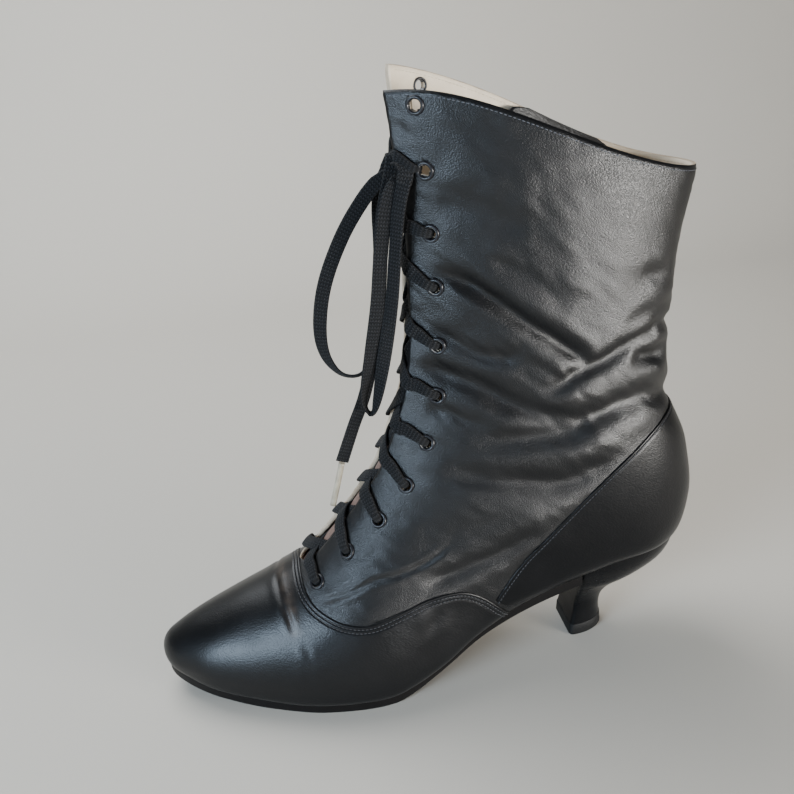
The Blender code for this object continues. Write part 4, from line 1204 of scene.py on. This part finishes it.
# How far the lace rises from an eyelet to the throat edge, from the top down, and to the other edge
EDGE_RISE = (0.0, 0.15, 0.06, -0.20, -0.22, -0.06, 0.0, 0.08, -0.03)
UNDER_RISE = 0.42
TOP_RISE = (0.1, 0.03, 0.16)
WAY_IN = (0.4, 4.0)
OUT_RISE = 0.1
OVER_RISE = 0.5
GAP_LIFT = 0.2
GAP_APART = 0.75
KNOT_ENDS = {-1.0: (126.6, -5.0, 232.6), 1.0: (127.6, 0.6, 231.6)}
KNOT_LEAN = np.array([0.4, 0.0, 0.6])


def braid_material():
    """Cotton braid: columns of slanted yarns along the lace, with a painted highlight on the yarn crests and
    painted shade between them.
    """
    material, tree, shader = new_material("black_braid")

    def off_half(value):
        return maths(tree, "ABSOLUTE", maths(tree, "SUBTRACT", maths(tree, "FRACT", value), 0.5))

    place = add(tree, "ShaderNodeUVMap", {"uv_map": "braid"})
    parts = add(tree, "ShaderNodeSeparateXYZ", Vector=place).node.outputs
    off_middle = maths(tree, "MULTIPLY", off_half(maths(tree, "MULTIPLY", parts["Y"], BRAID_COLUMNS)), 2.0)
    along = maths(tree, "DIVIDE", parts["X"], BRAID_PITCH)
    yarn = off_half(maths(tree, "ADD", along, maths(tree, "MULTIPLY", off_middle, BRAID_SLANT)))
    bulge = maths(tree, "SUBTRACT", 1.0, maths(tree, "MULTIPLY", yarn, 2.0))
    groove = maths(tree, "SUBTRACT", 1.0, maths(tree, "POWER", off_middle, 4.0))
    height = maths(tree, "MULTIPLY", bulge, groove)
    fuzz_place = add(tree, "ShaderNodeTexCoord", out="Object")
    fuzz = add(tree, "ShaderNodeTexNoise", out="Fac", Vector=fuzz_place, Scale=2600.0, Detail=2.0)
    # Colour follows the yarn height: painted highlight on the crests, painted shade in the grooves between them
    lit = maths(tree, "POWER", maths(tree, "MULTIPLY", height, maths(tree, "ADD", fuzz, 0.45)), 2.0)
    bump = add(tree, "ShaderNodeBump", Strength=0.9, Distance=BRAID_RELIEF * MM, Height=height)
    feed(tree, shader, Base_Color=colour_mix(tree, lit, BRAID_DARK, BRAID_CREST_HIGHLIGHT), Normal=bump, Roughness=0.82,
         Specular_IOR_Level=0.22, Sheen_Weight=0.02)
    return material


def ribbon(name, line, faces, width, thickness, material):
    """Flat braid along a line of points, its face turned to the given directions."""
    run = unit(np.gradient(line, axis=0))
    side = unit(np.cross(faces, run))
    rise = np.cross(run, side)
    turn = np.linspace(0.0, 2 * math.pi, BRAID_STEPS, endpoint=False)
    waves = zip((np.cos(turn), np.sin(turn)), BRAID_ROUND)
    x, y = (np.sign(wave) * np.abs(wave) ** power for wave, power in waves)
    width, thickness = (np.broadcast_to(value, len(line))[:, None, None] for value in (width, thickness))
    rings = line[:, None] + 0.5 * width * x[None, :, None] * side[:, None]
    rings = rings + 0.5 * thickness * y[None, :, None] * rise[:, None]
    item = loft(name, rings, material)
    layer = item.data.uv_layers.new(name="braid")
    vertex = np.empty(len(item.data.loops), int)
    item.data.loops.foreach_get("vertex_index", vertex)
    ring, step = np.divmod(vertex, BRAID_STEPS)
    places = np.stack([run_along(line)[ring], 0.5 + 0.5 * x[step]], axis=1)
    layer.data.foreach_set("uv", places.astype(np.float32).ravel())
    return item


def even_run(stops, spacing):
    """Smooth curve through stops of any width of columns, at even spacing of its first three."""
    fine = fine_curve(stops, CURVE_STEPS)
    run = run_along(fine[:, :3])
    at = np.linspace(0.0, run[-1], max(2, int(run[-1] / spacing) + 1))
    return np.stack([np.interp(at, run, column) for column in fine.T], axis=1)


def half_lace(hand):
    """Stops of one half of the lace from the lowest eyelet up to the knot."""
    stops, sign = [], 1.0

    def way_in(at, side, rise):
        return unit(spot(at + rise, hand * (side - WAY_IN[1]))[0] - spot(at, hand * side)[0])

    def lay(at, side, stop, normal=None):
        inward, lift, to_normal, to_way, *size = stop
        point, own_normal = spot(at, hand * (side - inward), lift)
        normal = own_normal if normal is None else normal
        stops.append((*point, *(sign * (to_normal * normal + to_way * toward)), *size))
        return normal

    for number in range(len(EYELETS) - 1, 1, -1):
        (at, side), (next_at, next_side) = EYELETS[number], EYELETS[number - 1]
        rise = next_at - at
        edge_rise = EDGE_RISE[number - 2] * rise
        toward = way_in(at, side, WAY_IN[0] * edge_rise)
        lay(at, side, INSIDE, spot(at, hand * side)[1])
        lay(at, side, IN_BORE)
        lay(at + OUT_RISE * edge_rise, side, COMING_OUT)
        lay(at + OVER_RISE * edge_rise, 0.5 * (side + THROAT_HALF), OVER_LEATHER)
        lay(at + edge_rise, THROAT_HALF, OVER_EDGE)
        half_way = at + 0.5 * (edge_rise + UNDER_RISE * rise)
        near, near_normal = spot(half_way, hand * THROAT_HALF)
        far, far_normal = spot(half_way, -hand * THROAT_HALF)
        normal = unit(near_normal + far_normal)
        middle = 0.5 * (near + far) + (GAP_LIFT + GAP_APART * hand * sign) * normal
        stops.append((*middle, *(sign * normal), LACE_WIDTH, LACE_THICKNESS))
        lay(at + UNDER_RISE * rise, -THROAT_HALF, UNDER_EDGE)
        lay(next_at, -next_side, BEHIND)
        hand, sign = -hand, -sign
    at, side = EYELETS[1]
    toward = way_in(at, side, TOP_RISE[0])
    lay(at, side, TOP_BORE)
    lay(at + TOP_RISE[1], side, TOP_OUT)
    normal = lay(at + TOP_RISE[2], THROAT_HALF, TOP_EDGE)
    stops.append((*KNOT_ENDS[hand], *(sign * (normal + KNOT_LEAN)), *AT_KNOT))
    return np.array(stops)


braid = braid_material()
crossings = [f"lace_crossing_{number:02d}" for number in range(3, 12)]
for name, hand, nodes in (
    ("lace_first_half", -1.0, (*crossings, "lace_bar")),
    ("lace_second_half", 1.0, ()),
):
    run = even_run(half_lace(hand), BRAID_SPACING)
    dress(ribbon(name, run[:, :3], run[:, 3:6], run[:, 6], run[:, 7], braid), "lace_braid", *nodes)


# Bow: the two halves of the lace tied in front of the throat. Two loops and one free end hang from
# the folded knot; the end carries a pale plastic tag.
TOWARD_VIEW = np.array([0.05, -0.95, 0.30])
LOOP_WIDTH = 6.0
LOOP_THICKNESS = 1.1
KNOT_DRAW = 0.5
KNOT_REACH = 6.0
KNOT_FULLER = 0.1
TAG_SPACING = 1.0
TAG_DARK = (0.16, 0.13, 0.09)
TAG_LIGHT = (0.46, 0.41, 0.31)

# Route points in l, y and z from the knot, and the twist of the braid's face away from the viewer
LOOP_FRONT = (
    (128.4, -6.2, 227.0, 14), (132.4, -6.2, 214.0, 18), (135.2, -5.0, 197.0, 20), (137.6, -3.8, 176.0, 32),
    (140.2, -2.4, 157.0, 58), (146.6, 1.0, 145.0, 75), (155.0, 3.5, 144.6, 75), (161.0, 5.0, 153.0, 48),
    (162.0, 5.0, 166.0, 18), (158.0, 5.0, 184.0, 5), (149.0, 4.0, 203.0, 0), (138.6, 2.0, 218.0, 0),
    (129.7, -1.4, 227.4, 0),
)
LOOP_SIDE = (
    (124.3, -12.8, 226.0, -26), (127.6, -12.6, 214.0, -34), (130.2, -11.4, 197.0, -36),
    (133.0, -10.0, 177.0, -32), (137.6, -8.4, 155.0, -20), (142.6, -6.4, 134.0, -60),
    (145.6, -4.8, 128.6, -85), (147.4, -3.8, 135.0, -60), (143.2, -6.8, 155.0, -25),
    (138.6, -8.6, 177.0, -15), (135.6, -9.4, 197.0, -15), (132.4, -10.4, 214.0, -15),
    (127.6, -10.0, 226.4, -12),
)
LACE_END = (
    (129.7, 4.2, 228.2, 0), (132.6, 7.2, 214.0, 0), (134.0, 7.4, 191.0, 10), (138.4, 6.5, 162.0, 20),
    (145.6, 4.0, 136.0, 25), (153.0, 2.0, 120.0, 25), (159.6, 0.4, 105.0, 20),
)
KNOT_ACROSS = np.array([-1.0, -0.15, 0.0])
LACE_TAG = ((159.8, 0.35, 104.5), (162.8, -0.8, 95.0), (166.0, -2.0, 85.4))
TAG_DIAMETER = 2.7
KNOT_BANDS = (
    ((129.0, -6.25, 225.1), (128.2, -6.6, 228.4), (127.2, -6.4, 232.6), (126.9, -4.2, 234.4),
     (127.0, -1.9, 232.6), (129.2, -1.4, 228.2)),
    ((124.8, -12.85, 224.2), (124.0, -13.0, 227.0), (123.6, -12.6, 229.6), (124.8, -10.6, 231.4),
     (127.2, -8.4, 231.6)),
)


def twisted(route):
    """Even points along a route and the directions of the braid's face."""
    run = even_run(np.array(route, float), BRAID_SPACING)
    line, twist = run[:, :3], np.radians(run[:, 3])[:, None]
    along = unit(np.gradient(line, axis=0))
    to_view = unit(TOWARD_VIEW - along * (along @ TOWARD_VIEW)[:, None])
    return line, np.cos(twist) * to_view + np.sin(twist) * np.cross(along, to_view)


def tag_material():
    """Clouded clear plastic."""
    material, tree, shader = new_material("clear_tag")
    place = add(tree, "ShaderNodeTexCoord", out="Object")
    cloud = add(tree, "ShaderNodeTexNoise", out="Fac", Vector=place, Scale=300.0, Detail=3.0)
    feed(tree, shader, Base_Color=colour_mix(tree, cloud, TAG_DARK, TAG_LIGHT), Roughness=0.3)
    return material


tag_line = even_run(LACE_TAG, TAG_SPACING)
tag_faces = np.tile(TOWARD_VIEW, (len(tag_line), 1))
tag = ribbon("lace_tag_sleeve", tag_line, tag_faces, TAG_DIAMETER, TAG_DIAMETER, tag_material())
dress(tag, "lace_tag", "lace_end_tag")
folds = []
for number, band in enumerate(KNOT_BANDS, 1):
    line = even_run(band, BRAID_SPACING)
    faces = np.cross(np.gradient(line, axis=0), KNOT_ACROSS)
    size = (LOOP_WIDTH + KNOT_FULLER, LOOP_THICKNESS + KNOT_FULLER)
    fold = ribbon(f"bow_fold_{number}", line, faces, *size, braid)
    folds.append(dress(fold, "lace_braid", *(("lace_knot",) if number == 1 else ())))
knot_exit = tuple(to_frame(KNOT_ENDS[-1.0]))
for name, node, route, far_end, pieces in (
    ("bow_loop_front", "lace_loop_front", LOOP_FRONT, "object", ()),
    ("bow_loop_side", "lace_loop_side", LOOP_SIDE, "object", ()),
    ("bow_free_end", "lace_end", LACE_END, "fitting", (tag, folds[0])),
):
    line, faces = twisted(route)
    run = run_along(line)
    from_knot = run if far_end == "fitting" else run[-1] - run
    drawn_in = np.clip(KNOT_DRAW + (1 - KNOT_DRAW) * from_knot / KNOT_REACH, 0.0, 1.0)
    strand = dress(ribbon(name, line, faces, LOOP_WIDTH * drawn_in, LOOP_THICKNESS, braid), "lace_braid", node)
    [tuple(p) for p in to_frame(np.array(route)[:, :3])]
    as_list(pieces)


# Floor, light and camera: a pale floor that sweeps up behind, soft lamps, and the view of the boot
# from its lateral side, slightly rolled.
CAMERA_PLACE = (-0.046057, -0.346825, 0.285227)
CAMERA_TURN = (66.392, 4.641, -8.496)
CAMERA_LENS = 40.489
FLOOR_COLOUR = (0.50, 0.46, 0.40)
FLOOR_HALF = 2.4
FLOOR_NEAR = -1.6
FLOOR_FLAT = 0.55
FLOOR_SWEEP = 0.5
FLOOR_TOP = 2.2
ROOM_COLOUR = (0.82, 0.84, 0.88)
ROOM_LIGHT = 0.14

# Lamps: name, place, the point it faces, width and height, power, colour
LAMPS = (
    ("sun_side", (0.74, -0.64, 0.11), (0.07, 0.0, 0.17), (0.40, 0.18), 17.0, (1.0, 0.98, 0.94)),
    ("sun_front", (0.42, -0.92, 0.12), (0.03, 0.0, 0.17), (0.30, 0.18), 2.6, (0.96, 0.98, 1.0)),
    ("sky_window", (-1.00, -0.78, 0.46), (-0.06, 0.0, 0.06), (0.6, 0.5), 25.0, (0.64, 0.81, 1.0)),
    ("low_window", (-0.36, -1.00, 0.12), (0.0, 0.0, 0.15), (0.22, 0.16), 0.8, (0.66, 0.82, 1.0)),
    ("top_soft", (-0.40, 0.55, 1.10), (0.0, 0.0, 0.1), (0.9, 0.9), 19.0, (0.92, 0.96, 1.0)),
)


def make_floor():
    bend = [(FLOOR_NEAR, 0.0), (FLOOR_FLAT, 0.0)]
    for a in np.linspace(0.1, math.pi / 2, 16):
        bend.append((FLOOR_FLAT + FLOOR_SWEEP * math.sin(a), FLOOR_SWEEP * (1 - math.cos(a))))
    bend.append((FLOOR_FLAT + FLOOR_SWEEP, FLOOR_TOP))
    mesh = bpy.data.meshes.new("floor")
    verts = [(x, y, z) for y, z in bend for x in (-FLOOR_HALF, FLOOR_HALF)]
    faces = [(2 * i, 2 * i + 1, 2 * i + 3, 2 * i + 2) for i in range(len(bend) - 1)]
    mesh.from_pydata(verts, [], faces)
    for polygon in mesh.polygons:
        polygon.use_smooth = True
    material, tree, shader = new_material("pale_floor")
    feed(tree, shader, Base_Color=(*FLOOR_COLOUR, 1.0), Roughness=0.75)
    mesh.materials.append(material)
    return new_object("floor", mesh)


make_floor()
for name, place, aim, size, power, colour in LAMPS:
    light = bpy.data.lights.new(name, "AREA")
    light.shape = "RECTANGLE"
    light.size, light.size_y = size
    light.energy = power
    light.color = colour
    lamp = new_object(name, light)
    lamp.location = place
    lamp.rotation_euler = (Vector(aim) - Vector(place)).to_track_quat("-Z", "Y").to_euler()
world = bpy.data.worlds.new("room")
world.use_nodes = True
feed(world.node_tree, world.node_tree.nodes["Background"], Color=(*ROOM_COLOUR, 1.0), Strength=ROOM_LIGHT)
bpy.context.scene.world = world
view = bpy.data.cameras.new("camera")
view.sensor_width = 36.0
view.lens = CAMERA_LENS
view.clip_start = 0.01
camera = new_object("camera", view)
camera.location = CAMERA_PLACE
camera.rotation_euler = [math.radians(a) for a in CAMERA_TURN]
bpy.context.scene.camera = camera
